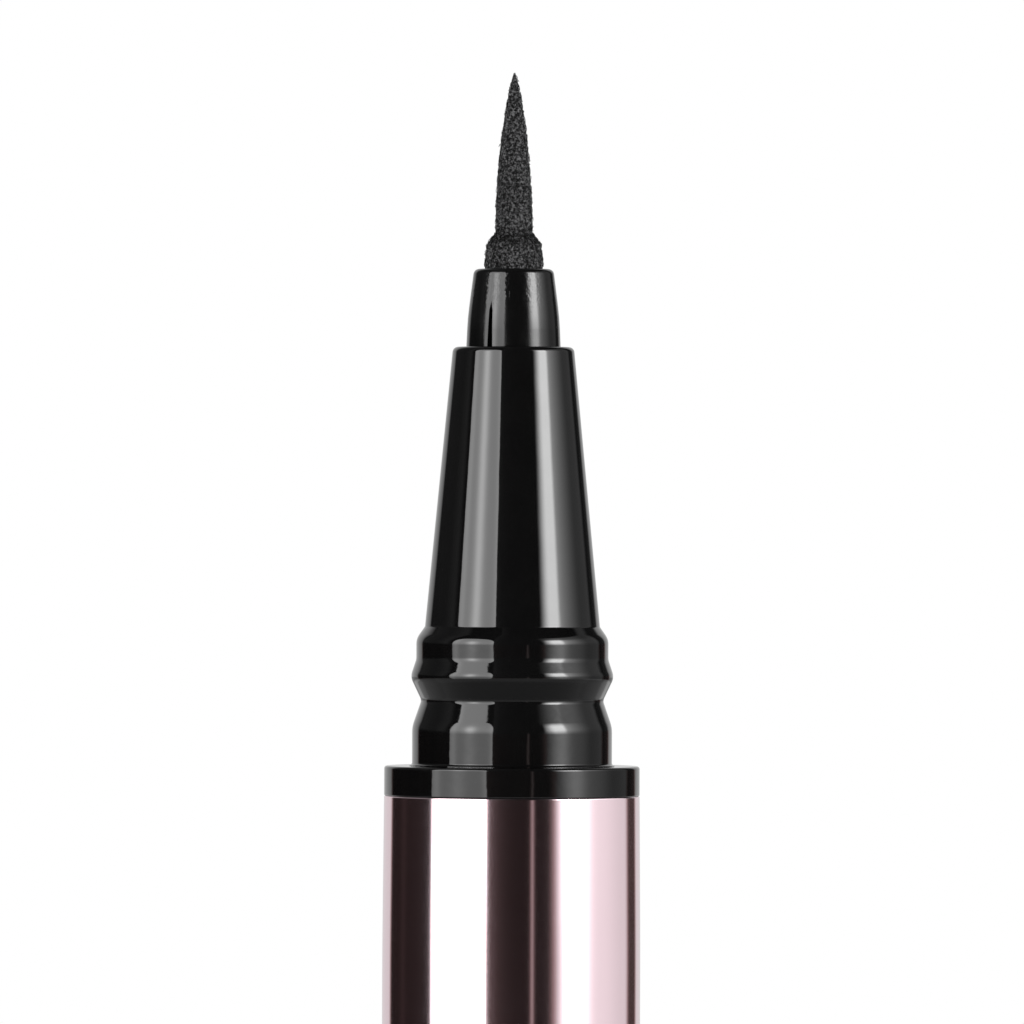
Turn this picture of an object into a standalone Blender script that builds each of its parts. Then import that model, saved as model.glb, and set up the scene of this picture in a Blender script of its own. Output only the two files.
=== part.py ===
"""A liquid eyeliner pen without its cap on, standing on the cap, which is posted on its tail.

Every piece is round about the Z axis. The cap's closed end stands on z = 0 and the nib points up.
Heights inside the pen are counted from the top face of its collar, where the neck begins.
"""

import math

import bmesh
import bpy
from mathutils import Matrix, Vector

MM = 0.001

# Clearances
SEAT_GAP = 0.05 * MM  # round a piece that is pressed or glued into another
FACE_GAP = 0.05 * MM  # between two end faces that butt
SLIDE_GAP = 0.1 * MM  # round a piece that slides in another
SEAL_GAP = 0.03 * MM  # between a seal ring and the walls of its groove
CAP_GAP = 0.05 * MM  # between the cap's snap bead and the neck
FIN_GAP = 0.08 * MM  # between the collector's fins and their bore
COIL_GAP = 0.25 * MM  # between the spring and the boss inside it
TIP_CLEARANCE = 0.8 * MM  # between the nib's tip and the inner cap's floor

# Barrel and its two trim rings
BARREL_RADIUS = 5.52 * MM
SLEEVE_WALL = 0.45 * MM
SLEEVE_LENGTH = 80.0 * MM
SLEEVE_EDGE = 0.06 * MM
SLEEVE_SWELL = 0.055 * MM
SWELL_LENGTH = 6.5 * MM
COLLAR_HEIGHT = 1.235 * MM
TAIL_RING_HEIGHT = 1.2 * MM
RING_EDGE = 0.12 * MM
SEAM_EDGE = 0.04 * MM  # of a trim ring beside the sleeve

# Walls of the cap, and the bead that snaps into a groove
SHELL_WALL = 0.45 * MM
SHELL_END_WALL = 0.5 * MM
SHELL_CORNER = 0.6 * MM
SHELL_RIM = 0.1 * MM
LINER_WALL = 0.55 * MM
LINER_END_WALL = 0.8 * MM
LINER_RECESS = 0.2 * MM
LINER_MOUTH_CHAMFER = 0.25 * MM
BEAD_HEIGHT = 0.1 * MM
BEAD_SPREAD = 0.4 * MM
BEAD_ROUND = 0.5 * MM

# Neck: its foot on the collar, the snap groove, the rib and the band above it
FOOT_WIDTH = 0.12 * MM
FOOT_EDGE = 0.03 * MM
FOOT_ROUND = 0.06 * MM
NECK_LENGTH = 1.687 * MM
NECK_ROUND = 1.0 * MM
GROOVE_DEPTH = 0.397 * MM
GROOVE_NEAR_SLOPE = 1.145 * MM
GROOVE_FAR_SLOPE = 1.01 * MM
GROOVE_ROUND = 0.46 * MM
RIB_RISE = 0.082 * MM
RIB_SLOPE = 0.76 * MM
RIB_ROUND = 0.61 * MM
BAND_INSET = 0.17 * MM
BAND_LENGTH = 0.89 * MM
BAND_ROUND = 0.3 * MM

# Cone of the front section
SHOULDER_LENGTH = 0.525 * MM
SHOULDER_ROUND = 0.7 * MM
CONE_INSET = 0.54 * MM
CONE_FOOT_ROUND = 0.12 * MM
CONE_LENGTH = 12.085 * MM
CONE_LIP = 0.574 * MM
CONE_EDGE = 0.24 * MM

# Nib holder, with its vent grooves
HOLDER_RADIUS = 2.04 * MM
HOLDER_LENGTH = 13.4 * MM
HOLDER_REACH = 3.37 * MM
HOLDER_TAPER_LENGTH = 2.12 * MM
HOLDER_FLARE = 0.056 * MM
HOLDER_FLARE_ROUND = 1.0 * MM
HOLDER_LIP = 0.415 * MM
HOLDER_EDGE = 0.25 * MM
HOLDER_SEAT_WALL = 0.7 * MM
VENT_COUNT = 3
VENT_FIRST_ANGLE = math.radians(-120.3)
VENT_START = 1.4 * MM
VENT_LENGTH = 3.0 * MM
VENT_WIDTH = 0.52 * MM
VENT_DEPTH = 0.5 * MM

# Nib
NIB_RADIUS = 1.25 * MM
NIB_LENGTH = 15.5 * MM
NIB_REACH = 8.475 * MM
NIB_BASE_LENGTH = 0.24 * MM
NIB_WAIST_LENGTH = 0.82 * MM
NIB_WAIST_INSET = 0.091 * MM
NIB_BEVEL_LENGTH = 0.52 * MM
NIB_TAPER_RADIUS = 0.782 * MM
NIB_FULLNESS_SHARE = 1.71
NIB_POINT_SHARE = 0.755
NIB_BLUNT_SHARE = 0.012
NIB_SOCKET_DEPTH = 2.0 * MM
NIB_REAR_CHAMFER = 0.2 * MM

# Ink feed: relay core, collector and the bore that holds them
RELAY_RADIUS = 0.75 * MM
RELAY_OVERHANG = 2.0 * MM
RELAY_POINT = 0.4 * MM
LEDGE_CLEARANCE = 0.45 * MM
COLLECTOR_TUBE_WALL = 0.6 * MM
COLLECTOR_FLANGE = 0.8 * MM
FIN_COUNT = 14
FIN_THICKNESS_SHARE = 0.5
COLLECTOR_SLOT_WIDTH = 0.5 * MM
COLLECTOR_SLOT_BITE = 0.2 * MM

# Ink tank, its spigots and seals
TANK_WALL = 1.0 * MM
TANK_LEDGE = 0.2 * MM
SPIGOT_WALL = 1.0 * MM
SPIGOT_DEPTH = 8.0 * MM
SPIGOT_LEAD = 0.3 * MM
SEAL_SECTION = 0.6 * MM
SEAL_PLACE_SHARE = 0.5

# Ball stop and mixing ball
CUP_HEIGHT = 3.2 * MM
CUP_FLOOR = 0.8 * MM
CUP_WALL = 0.5 * MM
CUP_CENTRE_HOLE_RADIUS = 0.8 * MM
CUP_HOLE_RADIUS = 0.45 * MM
CUP_HOLE_CIRCLE_RADIUS = 2.2 * MM
CUP_HOLE_COUNT = 6
BALL_RADIUS = 1.6 * MM

# Tail plug
PLUG_DEPTH = 6.0 * MM
PLUG_SPIGOT_LENGTH = 8.0 * MM
PLUG_CORE_WALL = 1.0 * MM
PLUG_CORE_DEPTH = 7.0 * MM
PLUG_END_ROUND = 0.5 * MM
DISH_RADIUS = 3.0 * MM
DISH_DEPTH = 0.5 * MM

# Inner cap and its spring
SEAL_HEIGHT = 15.0 * MM  # where the closed inner cap seals on the cone
PRESS_TRAVEL = 1.6 * MM
INNER_CAP_WALL = 0.6 * MM
INNER_CAP_FLOOR = 0.8 * MM
INNER_CAP_LIP_CHAMFER = 0.2 * MM
FLANGE_WIDTH = 0.5 * MM
FLANGE_THICKNESS = 0.9 * MM
LEDGE_UNDERCUT = 0.2 * MM
LEDGE_THICKNESS = 0.8 * MM
SPRING_LENGTH = 8.0 * MM
SPRING_RADIUS = 2.8 * MM
WIRE_RADIUS = 0.2 * MM
SPRING_TURNS = 6
CLOSED_TURN_GAP = 0.1 * MM
BOSS_HEIGHT = 1.5 * MM

# Fineness of the round shapes
SHELL_STEPS = 32
CORE_STEPS = 20
FIN_STEPS = 16
HOLE_STEPS = 12
SPRING_POINTS_PER_TURN = 10
BALL_STEPS = 16
SEAL_SECTION_STEPS = 6
TAPER_STEPS = 9
ARC_STEP = math.radians(30)
SHARP_ANGLE = math.radians(28)
ROUNDED_SHARE = 0.49  # the most of a run that a fillet takes where its far end is rounded too
PLAIN_SHARE = 0.98
MERGE_DISTANCE = 0.001 * MM
CUT_OVERRUN = 0.5 * MM  # how far a cutter passes what it cuts

# Radii of the barrel, the cap and the neck, from the outside in
SLEEVE_BORE = BARREL_RADIUS - SLEEVE_WALL
TANK_RADIUS = SLEEVE_BORE - SEAT_GAP
TANK_MOUTH = TANK_RADIUS - TANK_WALL
TANK_BORE = TANK_MOUTH - TANK_LEDGE
SPIGOT_RADIUS = TANK_MOUTH - SEAT_GAP
SEAL_RADIUS = TANK_MOUTH - SEAL_GAP - SEAL_SECTION / 2
SEAL_SEAT = SEAL_RADIUS - SEAL_SECTION / 2 - SEAL_GAP
LINER_RADIUS = BARREL_RADIUS - SHELL_WALL - SEAT_GAP
LINER_BORE = LINER_RADIUS - LINER_WALL
NECK_RADIUS = LINER_BORE - BEAD_HEIGHT - CAP_GAP
BAND_RADIUS = NECK_RADIUS - BAND_INSET
CONE_BASE_RADIUS = NECK_RADIUS - CONE_INSET
CONE_TOP_RADIUS = HOLDER_RADIUS + CONE_LIP

# Bores of the front section
HOLDER_SOCKET = HOLDER_RADIUS + SEAT_GAP
FEED_BORE = SPIGOT_RADIUS - SPIGOT_WALL
LEDGE_BORE = RELAY_RADIUS + LEDGE_CLEARANCE
RELAY_BORE = RELAY_RADIUS + SEAT_GAP
NIB_BORE = NIB_RADIUS + SEAT_GAP

# Heights of the nose, from the collar's top face
BAND_BASE = NECK_LENGTH + GROOVE_NEAR_SLOPE + GROOVE_FAR_SLOPE + RIB_SLOPE
BAND_TOP = BAND_BASE + BAND_LENGTH
CONE_BASE = BAND_TOP + SHOULDER_LENGTH
CONE_TOP = CONE_BASE + CONE_LENGTH
HOLDER_TOP = CONE_TOP + HOLDER_REACH
HOLDER_BASE = HOLDER_TOP - HOLDER_LENGTH
NIB_TIP = HOLDER_TOP + NIB_REACH
NIB_BASE = NIB_TIP - NIB_LENGTH
LEDGE_TOP = HOLDER_BASE - FACE_GAP
LEDGE_BASE = LEDGE_TOP - HOLDER_SEAT_WALL

# Heights of the barrel, going down from the collar's top face
SLEEVE_TOP = -COLLAR_HEIGHT - FACE_GAP
SLEEVE_BASE = SLEEVE_TOP - SLEEVE_LENGTH
TAIL_RING_BASE = SLEEVE_BASE - FACE_GAP - TAIL_RING_HEIGHT
SPIGOT_BASE = SLEEVE_TOP - SPIGOT_DEPTH
COLLECTOR_BASE = SPIGOT_BASE - FACE_GAP - COLLECTOR_FLANGE
CUP_BASE = COLLECTOR_BASE - FACE_GAP - CUP_HEIGHT
FRONT_TANK_LEDGE = CUP_BASE - FACE_GAP
PLUG_TOP = SLEEVE_BASE + PLUG_DEPTH
REAR_TANK_LEDGE = PLUG_TOP + FACE_GAP
PLUG_SHOULDER = TAIL_RING_BASE - FACE_GAP
PLUG_BASE = PLUG_SHOULDER - PLUG_SPIGOT_LENGTH
DISH_SLOPE = DISH_DEPTH / DISH_RADIUS
BALL_HEIGHT = PLUG_TOP - DISH_DEPTH + (BALL_RADIUS + SEAT_GAP) * math.hypot(1, DISH_SLOPE)

# Heights of the cap, from its closed end up
LINER_BASE = SHELL_END_WALL + FACE_GAP
SPRING_SEAT = LINER_BASE + LINER_END_WALL
SPRING_BASE = SPRING_SEAT + FACE_GAP
INNER_CAP_BASE = SPRING_BASE + SPRING_LENGTH + FACE_GAP
INNER_CAP_LENGTH = NIB_TIP - SEAL_HEIGHT + TIP_CLEARANCE + INNER_CAP_FLOOR
INNER_CAP_TOP = INNER_CAP_BASE + INNER_CAP_LENGTH
CAP_HEIGHT = INNER_CAP_TOP + SEAL_HEIGHT - PRESS_TRAVEL
LINER_TOP = CAP_HEIGHT - LINER_RECESS
FLANGE_TOP = INNER_CAP_BASE + FLANGE_THICKNESS
BEAD_MIDDLE = CAP_HEIGHT - NECK_LENGTH - GROOVE_NEAR_SLOPE
COLLAR_TOP_IN_CAP = CAP_HEIGHT + FACE_GAP - TAIL_RING_BASE

# Radii inside the cap
CONE_SLOPE = (CONE_BASE_RADIUS - CONE_TOP_RADIUS) / CONE_LENGTH
INNER_CAP_BORE = CONE_TOP_RADIUS + (CONE_TOP - SEAL_HEIGHT) * CONE_SLOPE
INNER_CAP_RADIUS = INNER_CAP_BORE + INNER_CAP_WALL
FLANGE_RADIUS = INNER_CAP_RADIUS + FLANGE_WIDTH
CHAMBER_RADIUS = FLANGE_RADIUS + SLIDE_GAP
CAP_LEDGE_RADIUS = FLANGE_RADIUS - LEDGE_UNDERCUT
BOSS_RADIUS = SPRING_RADIUS - WIRE_RADIUS - COIL_GAP


# Scene, collections and finishes


def clear_scene():
    for obj in list(bpy.data.objects):
        bpy.data.objects.remove(obj, do_unlink=True)


def new_collection(name):
    collection = bpy.data.collections.new(name)
    bpy.context.scene.collection.children.link(collection)
    return collection


def finish(name, colour, roughness, metallic=0.0):
    """A Principled material for one piece."""
    material = bpy.data.materials.new(name)
    material.use_nodes = True
    shader = material.node_tree.nodes["Principled BSDF"]
    shader.inputs["Base Color"].default_value = (*colour, 1)
    shader.inputs["Roughness"].default_value = roughness
    shader.inputs["Metallic"].default_value = metallic
    return material


def gloss_black(name):
    return finish(f"{name}_gloss_black_plastic", (0.010, 0.010, 0.011), 0.12)


def rose_gold(name):
    return finish(f"{name}_rose_gold_metal", (0.83, 0.60, 0.58), 0.12, 1.0)


def steel(name):
    return finish(f"{name}_steel", (0.62, 0.62, 0.63), 0.2, 1.0)


def rubber(name):
    return finish(f"{name}_rubber", (0.02, 0.02, 0.02), 0.7)


def milky_plastic(name):
    return finish(f"{name}_milky_plastic", (0.80, 0.80, 0.77), 0.4)


# Outlines


def fillet_room(run, far_fillet):
    return run.length * (ROUNDED_SHARE if far_fillet else PLAIN_SHARE)


def rounded_corner(before, corner, after):
    """The points of the arc that rounds a corner, which is held back where its runs are short."""
    at = Vector(corner[:2])
    fillet = corner[2] if len(corner) > 2 else 0
    if not fillet:
        return [at]
    back = Vector(before[:2]) - at
    on = Vector(after[:2]) - at
    half_angle = back.angle(on) / 2
    reach = min(
        fillet / math.tan(half_angle),
        fillet_room(back, len(before) > 2),
        fillet_room(on, len(after) > 2),
    )
    radius = reach * math.tan(half_angle)
    inward = (back.normalized() + on.normalized()).normalized()
    centre = at + inward * radius / math.sin(half_angle)
    start = at + back.normalized() * reach - centre
    end = at + on.normalized() * reach - centre
    turn = math.pi - 2 * half_angle
    steps = max(1, math.ceil(turn / ARC_STEP))
    points = []
    for step in range(steps + 1):
        angle = turn * step / steps
        mixed = start * math.sin(turn - angle) + end * math.sin(angle)
        points.append(centre + mixed / math.sin(turn))
    return points


def outline(corners, closed):
    """All points of an outline from its corners, each (radius, height) or (radius, height, fillet)."""
    points = []
    for number, corner in enumerate(corners):
        is_end = not closed and number in (0, len(corners) - 1)
        if is_end:
            points.append(Vector(corner[:2]))
        else:
            before = corners[number - 1]
            after = corners[(number + 1) % len(corners)]
            points += rounded_corner(before, corner, after)
    return points


def snap_corners(base, way):
    """Neck, groove, rib and band, counted from base, going up with way 1 or down with way -1."""
    neck_end = base + way * NECK_LENGTH
    groove = neck_end + way * GROOVE_NEAR_SLOPE
    rib = groove + way * GROOVE_FAR_SLOPE
    band = rib + way * RIB_SLOPE
    return [
        (NECK_RADIUS, neck_end, NECK_ROUND),
        (NECK_RADIUS - GROOVE_DEPTH, groove, GROOVE_ROUND),
        (NECK_RADIUS + RIB_RISE, rib, RIB_ROUND),
        (BAND_RADIUS, band, BAND_ROUND),
    ]


def seal_groove(middle):
    """The groove round a spigot that holds a seal ring, from its upper edge down."""
    half = SEAL_SECTION / 2 + SEAL_GAP
    return [
        (SPIGOT_RADIUS, middle + half),
        (SEAL_SEAT, middle + half),
        (SEAL_SEAT, middle - half),
        (SPIGOT_RADIUS, middle - half),
    ]


# Making and placing pieces


def place(obj, frame, height, material):
    """Puts a piece on the axis at a height of its frame, in the pen's own collection."""
    obj.location = (0, 0, height)
    obj.parent = frame
    if material:
        obj.data.materials.append(material)
    PIECES.objects.link(obj)
    return obj


def frame_at(name, height, parent=None):
    """An empty on the axis, which carries the pieces that move together."""
    empty = bpy.data.objects.new(name, None)
    return place(empty, parent, height, None)


def turned(name, corners, base, frame, material, steps=SHELL_STEPS):
    """A turned piece whose outline runs down its outer side, with its origin at the height base.

    An outline that starts and ends on the axis is solid there. Any other runs back up inside.
    """
    closed = corners[0][0] > 0
    points = outline(corners, closed)
    links = [(i, i + 1) for i in range(len(points) - 1)]
    if closed:
        links.append((len(points) - 1, 0))
    mesh = bpy.data.meshes.new(name)
    mesh.from_pydata([(p.x, 0, p.y - base) for p in points], links, [])
    obj = place(bpy.data.objects.new(name, mesh), frame, base, material)
    screw = obj.modifiers.new("turn", "SCREW")
    screw.angle = math.tau
    screw.steps = steps
    screw.render_steps = steps
    screw.use_merge_vertices = True
    screw.merge_threshold = MERGE_DISTANCE
    return obj


def cutter(name, target, mesh_maker, matrix):
    """A hidden solid, made by mesh_maker and placed by matrix in the target's space, that cuts it."""
    shape = bmesh.new()
    mesh_maker(shape)
    mesh = bpy.data.meshes.new(name)
    shape.to_mesh(mesh)
    shape.free()
    mesh.transform(matrix)
    obj = bpy.data.objects.new(name, mesh)
    obj.parent = target
    obj.hide_render = True
    obj.display_type = "WIRE"
    CUTTERS.objects.link(obj)
    cut = target.modifiers.new(name, "BOOLEAN")
    cut.operation = "DIFFERENCE"
    cut.solver = "EXACT"
    cut.object = obj
    return obj


def seal_ring(name, middle, frame):
    """A round rubber ring in its groove about a middle height."""
    bpy.ops.mesh.primitive_torus_add(
        major_radius=SEAL_RADIUS,
        minor_radius=SEAL_SECTION / 2,
        major_segments=SHELL_STEPS,
        minor_segments=SEAL_SECTION_STEPS,
    )
    ring = bpy.context.object
    ring.name = name
    ring.data.name = name
    for collection in list(ring.users_collection):
        collection.objects.unlink(ring)
    return place(ring, frame, middle, rubber(name))


def trim_ring(name, base, height, upper_edge, lower_edge, frame):
    """A black ring, flush with the barrel, with fillets of these sizes."""
    corners = [
        (BARREL_RADIUS, base + height, upper_edge),
        (BARREL_RADIUS, base, lower_edge),
        (TANK_MOUTH, base),
        (TANK_MOUTH, base + height),
    ]
    return turned(name, corners, base, frame, gloss_black(name))


# Nose


def make_nib(frame):
    """The felt nib: a rod with a stepped shoulder and a long bulging taper to its point."""
    shoulder_base = HOLDER_TOP + NIB_BASE_LENGTH
    shoulder_top = shoulder_base + NIB_WAIST_LENGTH
    taper_base = shoulder_top + NIB_BEVEL_LENGTH
    corners = [(0, NIB_TIP)]
    for step in range(TAPER_STEPS + 1):
        # Closer steps at the point, where the outline bends most.
        share = (step / TAPER_STEPS) ** 2
        along = NIB_BLUNT_SHARE + (1 - NIB_BLUNT_SHARE) * share
        bulge = (1 - (1 - along) ** NIB_FULLNESS_SHARE) ** NIB_POINT_SHARE
        corners.append((NIB_TAPER_RADIUS * bulge, NIB_TIP - (NIB_TIP - taper_base) * share))
    corners += [
        (NIB_RADIUS - NIB_WAIST_INSET, shoulder_top, NIB_WAIST_INSET),
        (NIB_RADIUS, shoulder_base),
        (NIB_RADIUS, NIB_BASE + NIB_REAR_CHAMFER),
        (NIB_RADIUS - NIB_REAR_CHAMFER, NIB_BASE),
        (RELAY_BORE, NIB_BASE),
        (RELAY_BORE, NIB_BASE + NIB_SOCKET_DEPTH),
        (0, NIB_BASE + NIB_SOCKET_DEPTH),
    ]
    felt = finish("nib_black_felt", (0.030, 0.030, 0.031), 0.95)
    return turned("nib", corners, NIB_BASE, frame, felt, CORE_STEPS)


def make_nib_holder(frame):
    """The tube that grips the nib. Vent grooves widen down its outside, into the front section."""
    flare = HOLDER_TOP - HOLDER_TAPER_LENGTH
    nib_ledge = NIB_BASE - FACE_GAP
    corners = [
        (NIB_BORE + HOLDER_LIP, HOLDER_TOP, HOLDER_EDGE),
        (HOLDER_RADIUS - HOLDER_FLARE, flare, HOLDER_FLARE_ROUND),
        (HOLDER_RADIUS, CONE_TOP),
        (HOLDER_RADIUS, HOLDER_BASE, HOLDER_EDGE),
        (RELAY_BORE, HOLDER_BASE),
        (RELAY_BORE, nib_ledge),
        (NIB_BORE, nib_ledge),
        (NIB_BORE, HOLDER_TOP),
    ]
    holder = turned("nib_holder", corners, HOLDER_BASE, frame, gloss_black("nib_holder"))
    start_height = HOLDER_TOP - VENT_START - HOLDER_BASE
    start_share = VENT_START / HOLDER_TAPER_LENGTH
    top_radius = NIB_BORE + HOLDER_LIP
    start_radius = top_radius + (HOLDER_RADIUS - HOLDER_FLARE - top_radius) * start_share
    point = Vector((start_radius, 0, start_height))
    foot = Vector((HOLDER_RADIUS, 0, start_height - VENT_LENGTH))
    lie = (point - foot).to_track_quat("Z", "Y").to_matrix().to_4x4()
    for number in range(VENT_COUNT):
        turn = Matrix.Rotation(VENT_FIRST_ANGLE + number * math.tau / VENT_COUNT, 4, "Z")
        matrix = turn @ Matrix.Translation((point + foot) / 2) @ lie
        cutter(f"vent_cutter_{number + 1}", holder, vent_wedge, matrix)
    return holder


def vent_wedge(shape):
    """A square spike, flattened across, that leaves a groove which starts at a point."""
    bmesh.ops.create_cone(
        shape,
        cap_ends=True,
        segments=4,
        radius1=math.sqrt(2),
        radius2=0,
        depth=VENT_LENGTH,
        matrix=Matrix.Rotation(math.radians(45), 4, "Z"),
    )
    bmesh.ops.scale(shape, vec=(VENT_WIDTH / 2, VENT_DEPTH, 1), verts=shape.verts)


def make_front_section(frame):
    """Cone, ribbed snap neck and rear spigot in one moulding, bored for the holder and the feed."""
    foot = FACE_GAP + FOOT_EDGE
    corners = [
        (CONE_TOP_RADIUS, CONE_TOP, CONE_EDGE),
        (CONE_BASE_RADIUS, CONE_BASE, CONE_FOOT_ROUND),
        (BAND_RADIUS, BAND_TOP, SHOULDER_ROUND),
        *reversed(snap_corners(0, 1)),
        (NECK_RADIUS, foot, FOOT_ROUND),
        (NECK_RADIUS + FOOT_WIDTH, foot),
        (NECK_RADIUS + FOOT_WIDTH, FACE_GAP),
        (SPIGOT_RADIUS, FACE_GAP),
        *seal_groove(SLEEVE_TOP - SPIGOT_DEPTH * SEAL_PLACE_SHARE),
        (SPIGOT_RADIUS, SPIGOT_BASE, SPIGOT_LEAD),
        (FEED_BORE, SPIGOT_BASE),
        (FEED_BORE, LEDGE_BASE),
        (LEDGE_BORE, LEDGE_BASE),
        (LEDGE_BORE, LEDGE_TOP),
        (HOLDER_SOCKET, LEDGE_TOP),
        (HOLDER_SOCKET, CONE_TOP),
    ]
    return turned("front_section", corners, SPIGOT_BASE, frame, gloss_black("front_section"))


# Ink feed


def make_collector(frame):
    """A tube with a comb of fins that hold surplus ink, a slot along them, and a flange to seat it."""
    top = LEDGE_BASE - FACE_GAP
    comb_base = SPIGOT_BASE
    tube_radius = RELAY_BORE + COLLECTOR_TUBE_WALL
    fin_radius = FEED_BORE - FIN_GAP
    pitch = (top - comb_base) / FIN_COUNT
    corners = []
    for number in range(FIN_COUNT):
        fin_top = top - number * pitch
        fin_base = fin_top - pitch * FIN_THICKNESS_SHARE
        corners += [
            (fin_radius, fin_top),
            (fin_radius, fin_base),
            (tube_radius, fin_base),
            (tube_radius, fin_top - pitch),
        ]
    flange_top = SPIGOT_BASE - FACE_GAP
    corners[-1] = (tube_radius, flange_top)
    corners += [
        (SPIGOT_RADIUS, flange_top),
        (SPIGOT_RADIUS, COLLECTOR_BASE),
        (RELAY_BORE, COLLECTOR_BASE),
        (RELAY_BORE, top),
    ]
    material = milky_plastic("collector")
    collector = turned("collector", corners, COLLECTOR_BASE, frame, material, FIN_STEPS)
    height = top - COLLECTOR_BASE + 2 * CUT_OVERRUN
    inner = tube_radius - COLLECTOR_SLOT_BITE
    depth = SPIGOT_RADIUS + CUT_OVERRUN - inner

    def slot(shape):
        bmesh.ops.create_cube(shape, size=1)
        bmesh.ops.scale(shape, vec=(depth, COLLECTOR_SLOT_WIDTH, height), verts=shape.verts)

    middle = Vector((inner + depth / 2, 0, height / 2 - CUT_OVERRUN))
    cutter("collector_slot_cutter", collector, slot, Matrix.Translation(middle))
    return collector


def make_relay_core(frame):
    """The fibre rod that leads ink from the tank through the collector into the nib's socket."""
    top = NIB_BASE + NIB_SOCKET_DEPTH - FACE_GAP
    base = COLLECTOR_BASE - RELAY_OVERHANG
    tip_radius = RELAY_RADIUS - RELAY_POINT
    corners = [
        (0, top),
        (tip_radius, top),
        (RELAY_RADIUS, top - RELAY_POINT),
        (RELAY_RADIUS, base + RELAY_POINT),
        (tip_radius, base),
        (0, base),
    ]
    fibre = finish("relay_core_inked_fibre", (0.06, 0.06, 0.065), 0.9)
    return turned("relay_core", corners, base, frame, fibre, CORE_STEPS)


def make_ball_stop_cup(frame):
    """A cup with holes in its floor, trapped between the tank's ledge and the collector's flange."""
    rim = CUP_BASE + CUP_HEIGHT
    floor = CUP_BASE + CUP_FLOOR
    corners = [
        (SPIGOT_RADIUS, rim),
        (SPIGOT_RADIUS, CUP_BASE),
        (CUP_CENTRE_HOLE_RADIUS, CUP_BASE),
        (CUP_CENTRE_HOLE_RADIUS, floor),
        (SPIGOT_RADIUS - CUP_WALL, floor),
        (SPIGOT_RADIUS - CUP_WALL, rim),
    ]
    cup = turned("ball_stop_cup", corners, CUP_BASE, frame, milky_plastic("ball_stop_cup"), CORE_STEPS)

    def hole(shape):
        bmesh.ops.create_cone(
            shape,
            cap_ends=True,
            segments=HOLE_STEPS,
            radius1=CUP_HOLE_RADIUS,
            radius2=CUP_HOLE_RADIUS,
            depth=CUP_FLOOR + 2 * CUT_OVERRUN,
        )

    for number in range(CUP_HOLE_COUNT):
        turn = Matrix.Rotation(number * math.tau / CUP_HOLE_COUNT, 4, "Z")
        shift = Matrix.Translation((CUP_HOLE_CIRCLE_RADIUS, 0, CUP_FLOOR / 2))
        cutter(f"cup_hole_cutter_{number + 1}", cup, hole, turn @ shift)
    return cup


def make_mixing_ball(frame):
    """The steel ball, lying in the dish of the tail plug."""
    shape = bmesh.new()
    bmesh.ops.create_uvsphere(
        shape, u_segments=BALL_STEPS, v_segments=BALL_STEPS // 2, radius=BALL_RADIUS
    )
    mesh = bpy.data.meshes.new("mixing_ball")
    shape.to_mesh(mesh)
    shape.free()
    ball = bpy.data.objects.new("mixing_ball", mesh)
    return place(ball, frame, BALL_HEIGHT, steel("mixing_ball"))


# Barrel


def make_ink_tank(frame):
    """The tube that holds the ink, widened at both ends for the spigots, with a ledge at each."""
    corners = [
        (TANK_RADIUS, SLEEVE_TOP),
        (TANK_RADIUS, SLEEVE_BASE),
        (TANK_MOUTH, SLEEVE_BASE),
        (TANK_MOUTH, REAR_TANK_LEDGE),
        (TANK_BORE, REAR_TANK_LEDGE),
        (TANK_BORE, FRONT_TANK_LEDGE),
        (TANK_MOUTH, FRONT_TANK_LEDGE),
        (TANK_MOUTH, SLEEVE_TOP),
    ]
    plastic = finish("ink_tank_black_plastic", (0.025, 0.025, 0.027), 0.35)
    return turned("ink_tank", corners, SLEEVE_BASE, frame, plastic)


def make_barrel_sleeve(frame):
    """The drawn metal tube, a little wider between its ends."""
    middle_radius = BARREL_RADIUS + SLEEVE_SWELL
    corners = [
        (BARREL_RADIUS, SLEEVE_TOP, SLEEVE_EDGE),
        (middle_radius, SLEEVE_TOP - SWELL_LENGTH),
        (middle_radius, SLEEVE_BASE + SWELL_LENGTH),
        (BARREL_RADIUS, SLEEVE_BASE, SLEEVE_EDGE),
        (SLEEVE_BORE, SLEEVE_BASE),
        (SLEEVE_BORE, SLEEVE_TOP),
    ]
    return turned("barrel_sleeve", corners, SLEEVE_BASE, frame, rose_gold("barrel_sleeve"))


def make_tail_plug(frame):
    """Closes the tank with a dished end, and carries the posted cap on the same groove as the neck."""
    corners = [
        (0, PLUG_TOP - DISH_DEPTH),
        (DISH_RADIUS, PLUG_TOP),
        (SPIGOT_RADIUS, PLUG_TOP, SPIGOT_LEAD),
        *seal_groove(SLEEVE_BASE + PLUG_DEPTH * SEAL_PLACE_SHARE),
        (SPIGOT_RADIUS, PLUG_SHOULDER),
        (NECK_RADIUS, PLUG_SHOULDER),
        *snap_corners(TAIL_RING_BASE, -1),
        (BAND_RADIUS, PLUG_BASE, PLUG_END_ROUND),
        (BAND_RADIUS - PLUG_CORE_WALL, PLUG_BASE),
        (BAND_RADIUS - PLUG_CORE_WALL, PLUG_BASE + PLUG_CORE_DEPTH),
        (0, PLUG_BASE + PLUG_CORE_DEPTH),
    ]
    return turned("tail_plug", corners, PLUG_BASE, frame, gloss_black("tail_plug"))


# Cap


def make_cap_shell(frame):
    """The drawn metal cap, closed and flat at its end."""
    corners = [
        (BARREL_RADIUS, CAP_HEIGHT, SHELL_RIM),
        (BARREL_RADIUS, 0, SHELL_CORNER),
        (0, 0),
    ]
    inside = [
        (0, SHELL_END_WALL),
        (BARREL_RADIUS - SHELL_WALL, SHELL_END_WALL),
        (BARREL_RADIUS - SHELL_WALL, CAP_HEIGHT),
    ]
    return turned("cap_shell", inside + corners, 0, frame, rose_gold("cap_shell"))


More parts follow.
